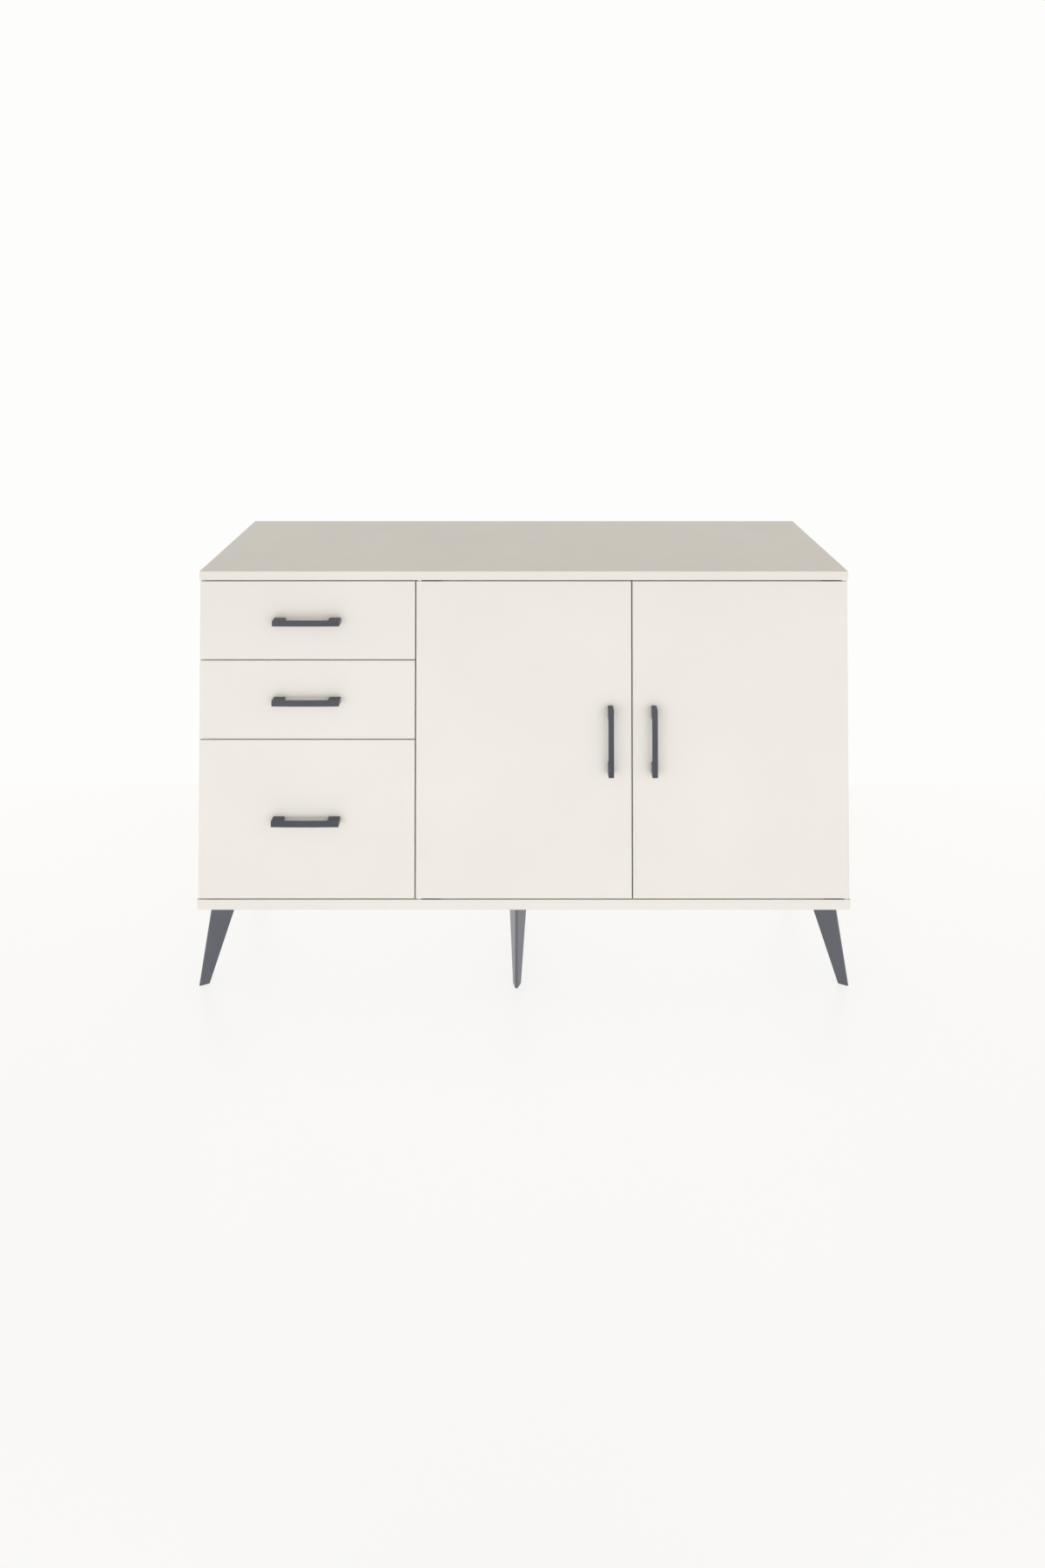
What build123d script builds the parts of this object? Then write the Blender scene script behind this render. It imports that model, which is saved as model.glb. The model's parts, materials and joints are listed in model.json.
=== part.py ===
from build123d import *
import math
import os

os.makedirs("parts", exist_ok=True)

# ---------------------------------------------------------------- dimensions
# Frame: X to the right, Y to the back, Z up, millimetres. The feet stand on Z = 0.
WIDTH = 1200.0
DEPTH = 400.0
LEG_H = 150.0
BOTTOM_T = 18.0
TOP_T = 16.0
BOARD_T = 16.0
HEIGHT = 767.0
FRONT_T = 16.0          # drawer fronts and doors
FRONT_GAP = 2.0         # between the rear of a front and the carcass edge
GAP = 2.5               # between neighbouring fronts
REVEAL = 2.0            # outer edge of a front to the outer edge of the side
GRIP = 20.0             # how far a handle stands out, at its middle

Y_FRONT = -(DEPTH + GRIP) / 2 + GRIP      # outer face of all fronts
Y_BACK = Y_FRONT + DEPTH
Y_CARC = Y_FRONT + FRONT_T + FRONT_GAP    # front edge of sides and divider
Z_FLOOR = LEG_H + BOTTOM_T                # inner floor of the carcass
Z_CEIL = HEIGHT - TOP_T                   # inner ceiling of the carcass
X_SIDE = WIDTH / 2
X_IN = X_SIDE - BOARD_T
X_SEAM = -199.75                          # middle of the divider
DIV_L = X_SEAM - BOARD_T / 2
DIV_R = X_SEAM + BOARD_T / 2

BACK_T = 3.0
BACK_Y0 = Y_BACK - 13.0
GROOVE = 6.0

FRONT_W = 397.0
DRAWER_X0 = -X_SIDE + REVEAL
LEFT_DOOR_X0 = DRAWER_X0 + FRONT_W + GAP
RIGHT_DOOR_X0 = LEFT_DOOR_X0 + FRONT_W + GAP
Z_F0 = Z_FLOOR + GAP
Z_F1 = Z_CEIL - GAP
DRAWERS = {
    "top_drawer": (606.0, 748.5, 100.0, 50.0),
    "middle_drawer": (461.0, 603.5, 100.0, 50.0),
    "bottom_drawer": (170.5, 458.5, 220.0, 70.0),
}

HANDLE_L = 123.5
HANDLE_W = 10.0
POST_L = 21.0
BAR_T = 4.2
BOW = 1.0
HOLE_P = 96.0

PIVOT_U = 6.0           # pivot axis from the hinge edge of the door
PIVOT_V = 5.0           # pivot axis behind the front face
PIN_R = 2.5
PLATE_T = 2.5

RUN_W = 12.7            # telescopic runner, wall to drawer side
RUN_L = 350.0
RUN_Y0 = Y_CARC + 2.0


def save(part, label):
    part.label = label
    export_step(part, "parts/" + label + ".step")


def block(x0, x1, y0, y1, z0, z1):
    """A board by its limits, as a builder to cut further."""
    with BuildPart() as b:
        with BuildSketch(Plane.XY.offset(z0)):
            with Locations(((x0 + x1) / 2, (y0 + y1) / 2)):
                Rectangle(x1 - x0, y1 - y0)
        extrude(amount=z1 - z0)
    return b.part


def rod(point, direction, radius, length):
    """A round rod from a point along a direction."""
    with BuildPart() as r:
        with BuildSketch(Plane(origin=point, z_dir=direction)):
            Circle(radius)
        extrude(amount=length)
    return r.part


def screw(point, direction, shank_r, length, head_r, head_h, sunk=False):
    """Screw whose head bears on a face at the point and whose shank runs along the direction."""
    base = Plane(origin=point, z_dir=direction)
    with BuildPart() as s:
        with BuildSketch(Plane(origin=point, z_dir=direction)):
            Circle(shank_r)
        extrude(amount=length)
        if sunk:
            with BuildSketch(base):
                Circle(head_r)
            with BuildSketch(base.offset(head_h)):
                Circle(shank_r)
            loft()
            with BuildSketch(base):
                Rectangle(head_r * 1.1, 0.7)
                Rectangle(0.7, head_r * 1.1)
            extrude(amount=1.1, mode=Mode.SUBTRACT)
        else:
            with BuildSketch(base.offset(-head_h)):
                Circle(head_r)
            extrude(amount=head_h)
            top = s.faces().sort_by(Axis(point, direction))[0]
            chamfer(top.edges(), min(0.35, head_h * 0.4))
            with BuildSketch(base.offset(-head_h)):
                Rectangle(head_r * 1.1, 0.7)
                Rectangle(0.7, head_r * 1.1)
            extrude(amount=min(1.0, head_h * 0.6), mode=Mode.SUBTRACT)
    return s.part


def screw_hole(point, direction, shank_r, length, head_r=0.0, head_h=0.0, c=0.06):
    """The hole for a screw: a drilled bore, with a countersink if it has one."""
    base = Plane(origin=point, z_dir=direction)
    with BuildPart() as h:
        with BuildSketch(base.offset(-0.5)):
            Circle(shank_r + c)
        extrude(amount=length + 0.5 + c)
        if head_r:
            with BuildSketch(base):
                Circle(head_r + c)
            with BuildSketch(base.offset(head_h)):
                Circle(shank_r + c)
            loft()
    return h.part


# ---------------------------------------------------------------- fastener positions
def leg_plan(sx, sy):
    """Fold tip at the floor, inward direction of the fold, and plate centre of one leg."""
    if sx == 0:
        tip = (-13.8, Y_FRONT + 11.5 if sy < 0 else Y_BACK - 11.5)
        d = (0.0, -float(sy))
        centre = (-12.1, tip[1] + d[1] * 53.5)
    else:
        tip = (sx * 600.5, Y_FRONT + 19.2 if sy < 0 else Y_BACK - 19.2)
        q = math.sqrt(0.5)
        d = (-sx * q, -sy * q)
        centre = (sx * 557.0, Y_FRONT + 63.0 if sy < 0 else Y_BACK - 63.0)
    return tip, d, centre


LEGS = {
    "front_left_leg": (-1, -1), "front_middle_leg": (0, -1), "front_right_leg": (1, -1),
    "rear_left_leg": (-1, 1), "rear_middle_leg": (0, 1), "rear_right_leg": (1, 1),
}


def leg_holes(sx, sy):
    tip, d, c = leg_plan(sx, sy)
    if sx == 0:
        return [(c[0] + i * 27, c[1] + j * 27) for i in (-1, 1) for j in (-1, 1)]
    inner = (tip[0] + d[0] * 56.6, tip[1] + d[1] * 56.6)
    return [(c[0] - sx * 27, c[1] + sy * 27), (c[0] + sx * 27, c[1] - sy * 27),
            (c[0] - sx * 27, c[1] - sy * 27), inner]


PANEL_X = {"left": -(X_SIDE - BOARD_T / 2), "divider": X_SEAM, "right": X_SIDE - BOARD_T / 2}
ASM_Y = (Y_FRONT + 130, Y_FRONT + 270)
DOWEL_LOW_Y = (Y_FRONT + 200, Y_FRONT + 345)
DOWEL_TOP_Y = (Y_FRONT + 100, Y_FRONT + 290)
CAM_Y = (Y_FRONT + 60, Y_FRONT + 330)
CAM_Z = Z_CEIL - 34.0
CAM_FACE = {"left": (-X_IN, -1), "divider": (DIV_R, -1), "right": (X_IN, 1)}

HINGES = {
    "left_door": (LEFT_DOOR_X0 + PIVOT_U, 1),
    "right_door": (RIGHT_DOOR_X0 + FRONT_W - PIVOT_U, -1),
}
PIVOT_Y = Y_FRONT + PIVOT_V
PLATE_SCREWS = (20.0, 36.0)


def pivot_plate_solid(axis_x, side, z0, hole_r):
    """Flat pivot plate with round ends, its pin hole over the axis."""
    with BuildPart() as p:
        with BuildSketch(Plane.XY.offset(z0)):
            with Locations((axis_x + side * 19.0, PIVOT_Y)):
                SlotCenterToCenter(38.0, 7.0)
            if hole_r:
                with Locations((axis_x, PIVOT_Y)):
                    Circle(hole_r, mode=Mode.SUBTRACT)
        extrude(amount=PLATE_T)
    return p.part


SHELF_Z = 452.0
PIN_Y = (Y_CARC + 60, BACK_Y0 - 50)
SHELF_PINS = [(DIV_R, 1, y) for y in PIN_Y] + [(X_IN, -1, y) for y in PIN_Y]

DBAY = (-X_IN, DIV_L)                       # drawer bay, left and right wall
BOX_X0 = DBAY[0] + RUN_W
BOX_X1 = DBAY[1] - RUN_W
BOX_T = 12.0
BOX_Y0 = Y_FRONT + FRONT_T
BOX_Y1 = BOX_Y0 + 354.0
RUN_SCREW_Y = (RUN_Y0 + 36, RUN_Y0 + 290)


def rail_z(name):
    z0, z1, h, rz = DRAWERS[name]
    return z0 + 18 + rz


RUN_SCREWS = [(x, d, y, rail_z(n)) for n in DRAWERS for x, d in ((DBAY[0], -1), (DBAY[1], 1)) for y in RUN_SCREW_Y]

# ---------------------------------------------------------------- carcass boards
with BuildPart() as top_panel:
    with BuildSketch(Plane.XY.offset(Z_CEIL)):
        with Locations((0, (Y_FRONT + Y_BACK) / 2)):
            Rectangle(WIDTH, DEPTH)
    extrude(amount=TOP_T)
    with BuildSketch(Plane.XY.offset(Z_CEIL)):
        with Locations((0, BACK_Y0 + 1.5)):
            Rectangle(2 * (X_IN + GROOVE), 3.2)
    extrude(amount=GROOVE, mode=Mode.SUBTRACT)
    with BuildSketch(Plane.XY.offset(Z_CEIL)):
        with Locations(*[(x, y) for x in PANEL_X.values() for y in DOWEL_TOP_Y]):
            Circle(4.05)
        with Locations(*[(PANEL_X[k], y) for k in PANEL_X for y in CAM_Y]):
            Circle(3.55)
    extrude(amount=11.0, mode=Mode.SUBTRACT)
    for ax, sd in HINGES.values():
        with BuildSketch(Plane.XY.offset(Z_CEIL)):
            with Locations((ax + sd * 19.0, PIVOT_Y)):
                SlotCenterToCenter(38.0, 7.0)
        extrude(amount=PLATE_T, mode=Mode.SUBTRACT)
        with BuildSketch(Plane.XY.offset(Z_CEIL)):
            with Locations(*[(ax + sd * u, PIVOT_Y) for u in PLATE_SCREWS]):
                Circle(1.56)
        extrude(amount=13.0, mode=Mode.SUBTRACT)
    with BuildSketch(Plane.XY.offset(Z_CEIL)):
        with Locations(*[(cx + dx, Y_CARC + 9) for cx in (150.0, 250.0) for dx in (-16, 16)]):
            Circle(1.56)
    extrude(amount=11.0, mode=Mode.SUBTRACT)
save(top_panel.part, "top_panel")

with BuildPart() as bottom_panel:
    with BuildSketch(Plane.XY.offset(LEG_H)):
        with Locations((0, (Y_FRONT + Y_BACK) / 2)):
            Rectangle(WIDTH, DEPTH)
    extrude(amount=BOTTOM_T)
    with BuildSketch(Plane.XY.offset(Z_FLOOR - GROOVE)):
        with Locations((0, BACK_Y0 + 1.5)):
            Rectangle(2 * (X_IN + GROOVE), 3.2)
    extrude(amount=GROOVE, mode=Mode.SUBTRACT)
    with BuildSketch(Plane.XY.offset(LEG_H)):
        with Locations(*[p for s in LEGS.values() for p in leg_holes(*s)]):
            Circle(2.06)
    extrude(amount=13.0, mode=Mode.SUBTRACT)
    with BuildSketch(Plane.XY.offset(LEG_H)):
        with Locations(*[(x, y) for x in PANEL_X.values() for y in ASM_Y]):
            Circle(3.56)
    extrude(amount=BOTTOM_T, mode=Mode.SUBTRACT)
    with BuildSketch(Plane.XY.offset(LEG_H)):
        with Locations(*[(x, y) for x in PANEL_X.values() for y in ASM_Y]):
            Circle(5.06)
    extrude(amount=3.0, mode=Mode.SUBTRACT)
    with BuildSketch(Plane.XY.offset(Z_FLOOR - 10)):
        with Locations(*[(x, y) for x in PANEL_X.values() for y in DOWEL_LOW_Y]):
            Circle(4.05)
    extrude(amount=10.0, mode=Mode.SUBTRACT)
    for ax, sd in HINGES.values():
        with BuildSketch(Plane.XY.offset(Z_FLOOR - PLATE_T)):
            with Locations((ax + sd * 19.0, PIVOT_Y)):
                SlotCenterToCenter(38.0, 7.0)
        extrude(amount=PLATE_T, mode=Mode.SUBTRACT)
        with BuildSketch(Plane.XY.offset(Z_FLOOR - 13)):
            with Locations(*[(ax + sd * u, PIVOT_Y) for u in PLATE_SCREWS]):
                Circle(1.56)
        extrude(amount=13.0, mode=Mode.SUBTRACT)
save(bottom_panel.part, "bottom_panel")

for name, x0, x1 in (("left", -X_SIDE, -X_IN), ("right", X_IN, X_SIDE)):
    xc = PANEL_X[name]
    with BuildPart() as side_panel:
        with BuildSketch(Plane.XY.offset(Z_FLOOR)):
            with Locations((xc, (Y_CARC + Y_BACK) / 2)):
                Rectangle(BOARD_T, Y_BACK - Y_CARC)
        extrude(amount=Z_CEIL - Z_FLOOR)
        with BuildSketch(Plane.XY.offset(Z_FLOOR)):
            with Locations(((x1 - GROOVE / 2) if name == "left" else (x0 + GROOVE / 2), BACK_Y0 + 1.5)):
                Rectangle(GROOVE, 3.2)
        extrude(amount=Z_CEIL - Z_FLOOR, mode=Mode.SUBTRACT)
        with BuildSketch(Plane.XY.offset(Z_FLOOR)):
            with Locations(*[(xc, y) for y in DOWEL_LOW_Y]):
                Circle(4.05)
        extrude(amount=20.5, mode=Mode.SUBTRACT)
        with BuildSketch(Plane.XY.offset(Z_FLOOR)):
            with Locations(*[(xc, y) for y in ASM_Y]):
                Circle(3.56)
        extrude(amount=33.0, mode=Mode.SUBTRACT)
        with BuildSketch(Plane.XY.offset(Z_CEIL - 19.5)):
            with Locations(*[(xc, y) for y in DOWEL_TOP_Y]):
                Circle(4.05)
        extrude(amount=19.5, mode=Mode.SUBTRACT)
        with BuildSketch(Plane.XY.offset(CAM_Z)):
            with Locations(*[(xc, y) for y in CAM_Y]):
                Circle(3.55)
        extrude(amount=Z_CEIL - CAM_Z, mode=Mode.SUBTRACT)
        face, inward = CAM_FACE[name]
        for y in CAM_Y:
            add(rod((face, y, CAM_Z), (inward, 0, 0), 7.56, 12.6), mode=Mode.SUBTRACT)
        if name == "left":
            for px, d, y, z in RUN_SCREWS:
                if d < 0:
                    add(screw_hole((px, y, z), (d, 0, 0), 1.75, 11.0), mode=Mode.SUBTRACT)
        else:
            for px, d, y in SHELF_PINS:
                if d < 0:
                    add(rod((px, y, SHELF_Z - 2.5), (1, 0, 0), 2.55, 9.0), mode=Mode.SUBTRACT)
    save(side_panel.part, name + "_side_panel")

with BuildPart() as centre_divider:
    with BuildSketch(Plane.XY.offset(Z_FLOOR)):
        with Locations((X_SEAM, (Y_CARC + BACK_Y0 - 0.3) / 2)):
            Rectangle(BOARD_T, BACK_Y0 - 0.3 - Y_CARC)
    extrude(amount=Z_CEIL - Z_FLOOR)
    with BuildSketch(Plane.XY.offset(Z_FLOOR)):
        with Locations(*[(X_SEAM, y) for y in DOWEL_LOW_Y]):
            Circle(4.05)
    extrude(amount=20.5, mode=Mode.SUBTRACT)
    with BuildSketch(Plane.XY.offset(Z_FLOOR)):
        with Locations(*[(X_SEAM, y) for y in ASM_Y]):
            Circle(3.56)
    extrude(amount=33.0, mode=Mode.SUBTRACT)
    with BuildSketch(Plane.XY.offset(Z_CEIL - 19.5)):
        with Locations(*[(X_SEAM, y) for y in DOWEL_TOP_Y]):
            Circle(4.05)
    extrude(amount=19.5, mode=Mode.SUBTRACT)
    with BuildSketch(Plane.XY.offset(CAM_Z)):
        with Locations(*[(X_SEAM, y) for y in CAM_Y]):
            Circle(3.55)
    extrude(amount=Z_CEIL - CAM_Z, mode=Mode.SUBTRACT)
    for y in CAM_Y:
        add(rod((DIV_R, y, CAM_Z), (-1, 0, 0), 7.56, 12.6), mode=Mode.SUBTRACT)
    for px, d, y, z in RUN_SCREWS:
        if d > 0:
            add(screw_hole((px, y, z), (1, 0, 0), 1.75, 11.0), mode=Mode.SUBTRACT)
    for px, d, y in SHELF_PINS:
        if d > 0:
            add(rod((px, y, SHELF_Z - 2.5), (-1, 0, 0), 2.55, 9.0), mode=Mode.SUBTRACT)
save(centre_divider.part, "centre_divider")

with BuildPart() as back_panel:
    with BuildSketch(Plane.XZ.offset(-BACK_Y0)):
        with Locations((0, (Z_FLOOR + Z_CEIL) / 2)):
            Rectangle(2 * (X_IN + 5.5), Z_CEIL - Z_FLOOR + 11.0)
    extrude(amount=-BACK_T)
save(back_panel.part, "back_panel")

SHELF_Y0 = Y_CARC + 24.0
with BuildPart() as shelf:
    with BuildSketch(Plane.XY.offset(SHELF_Z)):
        with Locations(((DIV_R + X_IN) / 2, (SHELF_Y0 + BACK_Y0 - 1) / 2)):
            Rectangle(X_IN - DIV_R - 1.5, BACK_Y0 - 1 - SHELF_Y0)
    extrude(amount=BOARD_T)
save(shelf.part, "shelf")

with BuildPart() as shelf_pins:
    for px, d, y in SHELF_PINS:
        base = Plane(origin=(px, y, SHELF_Z - 2.5), z_dir=(d, 0, 0))
        with BuildSketch(base.offset(-8.8)):
            Circle(2.5)
        extrude(amount=8.8 + 9.0)
save(shelf_pins.part, "shelf_pins")

# ---------------------------------------------------------------- carcass fasteners
with BuildPart() as wood_dowels:
    for x in PANEL_X.values():
        for y in DOWEL_LOW_Y:
            add(rod((x, y, Z_FLOOR - 10), (0, 0, 1), 4.0, 30.0))
        for y in DOWEL_TOP_Y:
            add(rod((x, y, Z_CEIL - 19), (0, 0, 1), 4.0, 30.0))
    chamfer(wood_dowels.edges().filter_by(GeomType.CIRCLE), 0.8)
save(wood_dowels.part, "wood_dowels")

with BuildPart() as assembly_screws:
    with BuildSketch(Plane.XY.offset(LEG_H)):
        with Locations(*[(x, y) for x in PANEL_X.values() for y in ASM_Y]):
            Circle(5.0)
    extrude(amount=3.0)
    with BuildSketch(Plane.XY.offset(LEG_H)):
        with Locations(*[(x, y) for x in PANEL_X.values() for y in ASM_Y]):
            Circle(3.5)
    extrude(amount=50.0)
    chamfer(assembly_screws.edges().filter_by(GeomType.CIRCLE).group_by(Axis.Z)[-1], 1.5)
    with BuildSketch(Plane.XY.offset(LEG_H)):
        with Locations(*[(x, y) for x in PANEL_X.values() for y in ASM_Y]):
            RegularPolygon(2.3, 6)
    extrude(amount=2.2, mode=Mode.SUBTRACT)
save(assembly_screws.part, "assembly_screws")

with BuildPart() as cam_fittings:
    for k, (face, inward) in CAM_FACE.items():
        for y in CAM_Y:
            add(rod((face, y, CAM_Z), (inward, 0, 0), 7.5, 12.5))
            add(rod((PANEL_X[k], y, CAM_Z + 2.2), (0, 0, 1), 3.55, 8.0), mode=Mode.SUBTRACT)
            with BuildSketch(Plane(origin=(face, y, CAM_Z), z_dir=(inward, 0, 0))):
                Rectangle(6.0, 1.2)
                Rectangle(1.2, 6.0)
            extrude(amount=2.0, mode=Mode.SUBTRACT)
            add(rod((PANEL_X[k], y, CAM_Z + 2.4), (0, 0, 1), 3.5, Z_CEIL + 11 - CAM_Z - 2.4))
save(cam_fittings.part, "cam_fittings")

# ---------------------------------------------------------------- legs
LEG_BETA = math.radians(20.5)
LEG_R = 2.8
SHEET_T = 2.0
CORNER_SHAPE = (27.25, 8.0, 18.8, 0.0)      # lean, half spread at the floor and at 150 mm, turn about the upright
MIDDLE_SHAPE = (28.6, 7.4, 18.5, math.radians(4.2))
PLATE_H = 3.0


def v_section(tip, d, spread, z):
    """Cross-section of the folded sheet at one height: two wings from a round fold."""
    n = (-d[1], d[0])
    s, c = math.sin(LEG_BETA), math.cos(LEG_BETA)
    r_in = LEG_R - SHEET_T

    def at(a, b):
        return (tip[0] + d[0] * a + n[0] * b, tip[1] + d[1] * a + n[1] * b)

    t_a, t_b = LEG_R - LEG_R * s, LEG_R * c
    run = (spread - t_b) / s
    e_a, e_b = t_a + run * c, spread
    i_a, i_b = LEG_R - r_in * s, r_in * c
    f_a, f_b = e_a + SHEET_T * s, e_b - SHEET_T * c
    with BuildSketch(Plane.XY.offset(z)) as sk:
        with BuildLine():
            Line(at(e_a, e_b), at(t_a, t_b))
            ThreePointArc(at(t_a, t_b), at(0, 0), at(t_a, -t_b))
            Line(at(t_a, -t_b), at(e_a, -e_b))
            Line(at(e_a, -e_b), at(f_a, -f_b))
            Line(at(f_a, -f_b), at(i_a, -i_b))
            ThreePointArc(at(i_a, -i_b), at(LEG_R - r_in, 0), at(i_a, i_b))
            Line(at(i_a, i_b), at(f_a, f_b))
            Line(at(f_a, f_b), at(e_a, e_b))
        make_face()
    return sk


for name, (sx, sy) in LEGS.items():
    tip, d, centre = leg_plan(sx, sy)
    lean, low_half, high_half, turn = MIDDLE_SHAPE if sx == 0 else CORNER_SHAPE
    h = LEG_H - PLATE_H
    k = h / LEG_H
    tip_top = (tip[0] + d[0] * lean * k, tip[1] + d[1] * lean * k)
    face = (d[0] * math.cos(turn) + math.sin(turn), d[1] * math.cos(turn)) if turn else d
    with BuildPart() as leg:
        low = v_section(tip, face, low_half, 0.0)
        high = v_section(tip_top, face, low_half + (high_half - low_half) * k, h)
        loft(sections=[low.sketch.face(), high.sketch.face()], ruled=True)
        with BuildSketch(Plane.XY.offset(h)):
            with Locations(centre):
                RectangleRounded(70, 70, 6)
            with Locations(*leg_holes(sx, sy)):
                Circle(2.2, mode=Mode.SUBTRACT)
        extrude(amount=PLATE_H)
    save(leg.part, name)

with BuildPart() as leg_screws:
    for s in LEGS.values():
        for x, y in leg_holes(*s):
            add(screw((x, y, LEG_H - PLATE_H), (0, 0, 1), 2.0, 15.0, 4.0, 2.4))
save(leg_screws.part, "leg_screws")

# ---------------------------------------------------------------- door pivots, cabinet half
DOOR_Z = (Z_F0, Z_F1)
with BuildPart() as cabinet_pivots:
    for ax, sd in HINGES.values():
        for z0, up in ((Z_CEIL, -1), (Z_FLOOR - PLATE_T, 1)):
            add(pivot_plate_solid(ax, sd, z0, 0))
            for u in PLATE_SCREWS:
                zf = z0 if up < 0 else z0 + PLATE_T
                add(screw_hole((ax + sd * u, PIVOT_Y, zf), (0, 0, -up), 1.5, 4.0, 2.8, 1.3), mode=Mode.SUBTRACT)
            face = z0 if up < 0 else z0 + PLATE_T
            add(rod((ax, PIVOT_Y, face), (0, 0, up), PIN_R, GAP + 8.0))
save(cabinet_pivots.part, "cabinet_pivots")

with BuildPart() as pivot_washers:
    for ax, sd in HINGES.values():
        for z0 in (Z_FLOOR, Z_CEIL - 2.35):
            with BuildSketch(Plane.XY.offset(z0)):
                with Locations((ax, PIVOT_Y)):
                    Circle(4.0)
                    Circle(PIN_R + 0.03, mode=Mode.SUBTRACT)
            extrude(amount=2.35)
save(pivot_washers.part, "pivot_washers")

CATCH_X = {"left_door": 150.0, "right_door": 250.0}
with BuildPart() as magnet_catches:
    for cx in CATCH_X.values():
        with BuildSketch(Plane.XY.offset(Z_CEIL - 12)):
            with Locations((cx, Y_CARC + 9)):
                RectangleRounded(24, 17, 1.5)
        extrude(amount=12)
        with BuildSketch(Plane.XY.offset(Z_CEIL - 3)):
            with Locations((cx, Y_CARC + 9)):
                RectangleRounded(42, 11, 5)
            with Locations((cx - 16, Y_CARC + 9), (cx + 16, Y_CARC + 9)):
                Circle(1.7, mode=Mode.SUBTRACT)
        extrude(amount=3)
        with BuildSketch(Plane.XZ.offset(-(Y_CARC + 0.5))):
            with Locations((cx, Z_CEIL - 4.0), (cx, Z_CEIL - 9.0)):
                Rectangle(19, 1.4)
        extrude(amount=0.8)
save(magnet_catches.part, "magnet_catches")

with BuildPart() as hardware_screws:
    for ax, sd in HINGES.values():
        for u in PLATE_SCREWS:
            add(screw((ax + sd * u, PIVOT_Y, Z_CEIL), (0, 0, 1), 1.5, 12.5, 2.8, 1.3, True))
            add(screw((ax + sd * u, PIVOT_Y, Z_FLOOR), (0, 0, -1), 1.5, 12.5, 2.8, 1.3, True))
    for cx in CATCH_X.values():
        for dx in (-16, 16):
            add(screw((cx + dx, Y_CARC + 9, Z_CEIL - 3), (0, 0, 1), 1.5, 13.5, 3.0, 1.8))
    for px, d, y, z in RUN_SCREWS:
        add(screw((px - d * 1.2, y, z), (d, 0, 0), 1.75, 12.0, 3.4, 0.8))
save(hardware_screws.part, "hardware_screws")

# ---------------------------------------------------------------- runners
# Across the runner: 0 at the wall of the bay, RUN_W at the drawer side.
OUTER = ((0.0, 1.2, 22.5), (0.0, 9.0, 22.5, 21.3))
MIDDLE = ((2.4, 3.5, 19.5), (2.4, 10.0, 19.5, 18.3))
INNER = ((11.5, 12.7, 16.5), (4.2, 12.7, 16.5, 15.3))


def channel(profile, wall_x, sign, zc, y0, length, holes):
    """One rolled channel of a telescopic runner."""
    (w0, w1, hh), (f0, f1, fo, fi) = profile
    with BuildPart() as ch:
        with BuildSketch(Plane.XZ.offset(-y0)):
            with Locations((wall_x + sign * (w0 + w1) / 2, zc)):
                Rectangle(w1 - w0, 2 * hh)
            with Locations((wall_x + sign * (f0 + f1) / 2, zc + (fo + fi) / 2),
                           (wall_x + sign * (f0 + f1) / 2, zc - (fo + fi) / 2)):
                Rectangle(f1 - f0, fo - fi)
        extrude(amount=-length)
        for y in holes:
            add(rod((wall_x + sign * (w0 - 1), y, zc), (sign, 0, 0), 1.81, w1 - w0 + 2), mode=Mode.SUBTRACT)
    return ch.part


with BuildPart() as runner_outer_rails:
    for n in DRAWERS:
        for wx, sg in ((DBAY[0], 1), (DBAY[1], -1)):
            add(channel(OUTER, wx, sg, rail_z(n), RUN_Y0, RUN_L, RUN_SCREW_Y))
save(runner_outer_rails.part, "runner_outer_rails")


# ---------------------------------------------------------------- handles
def handle_profile_h(cx, cz):
    """Bow handle lying along X, on the front face, centred on (cx, cz)."""
    with BuildPart() as hd:
        with BuildSketch(Plane.XY.offset(cz - HANDLE_W / 2)) as sk:
            with BuildLine():
                a, b = HANDLE_L / 2, HANDLE_L / 2 - POST_L
                e = Y_FRONT - GRIP + BOW
                Line((cx - a, Y_FRONT), (cx - a, e))
                ThreePointArc((cx - a, e), (cx, Y_FRONT - GRIP), (cx + a, e))
                Line((cx + a, e), (cx + a, Y_FRONT))
                Line((cx + a, Y_FRONT), (cx + b, Y_FRONT))
                Line((cx + b, Y_FRONT), (cx + b, e + BAR_T))
                ThreePointArc((cx + b, e + BAR_T), (cx, e + BAR_T - BOW * 0.45), (cx - b, e + BAR_T))
                Line((cx - b, e + BAR_T), (cx - b, Y_FRONT))
                Line((cx - b, Y_FRONT), (cx - a, Y_FRONT))
            make_face()
            inner = [v for v in sk.vertices() if abs(abs(v.X - cx) - b) < 0.01 and v.Y < Y_FRONT - 1]
            outer = [v for v in sk.vertices() if abs(abs(v.X - cx) - a) < 0.01 and v.Y < Y_FRONT - 1]
            fillet(inner, 2.5)
            fillet(outer, 1.2)
        extrude(amount=HANDLE_W)
        add(rod((cx - HOLE_P / 2, Y_FRONT + 0.01, cz), (0, -1, 0), 2.06, 11.0), mode=Mode.SUBTRACT)
        add(rod((cx + HOLE_P / 2, Y_FRONT + 0.01, cz), (0, -1, 0), 2.06, 11.0), mode=Mode.SUBTRACT)
    return hd.part


def handle_profile_v(cx, cz):
    """The same handle standing along Z."""
    flat = handle_profile_h(0, 0)
    return flat.rotate(Axis.Y, 90).moved(Location((cx, 0, cz)))


def handle_holes(cx, cz, vertical):
    if vertical:
        return [(cx, cz - HOLE_P / 2), (cx, cz + HOLE_P / 2)]
    return [(cx - HOLE_P / 2, cz), (cx + HOLE_P / 2, cz)]


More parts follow.
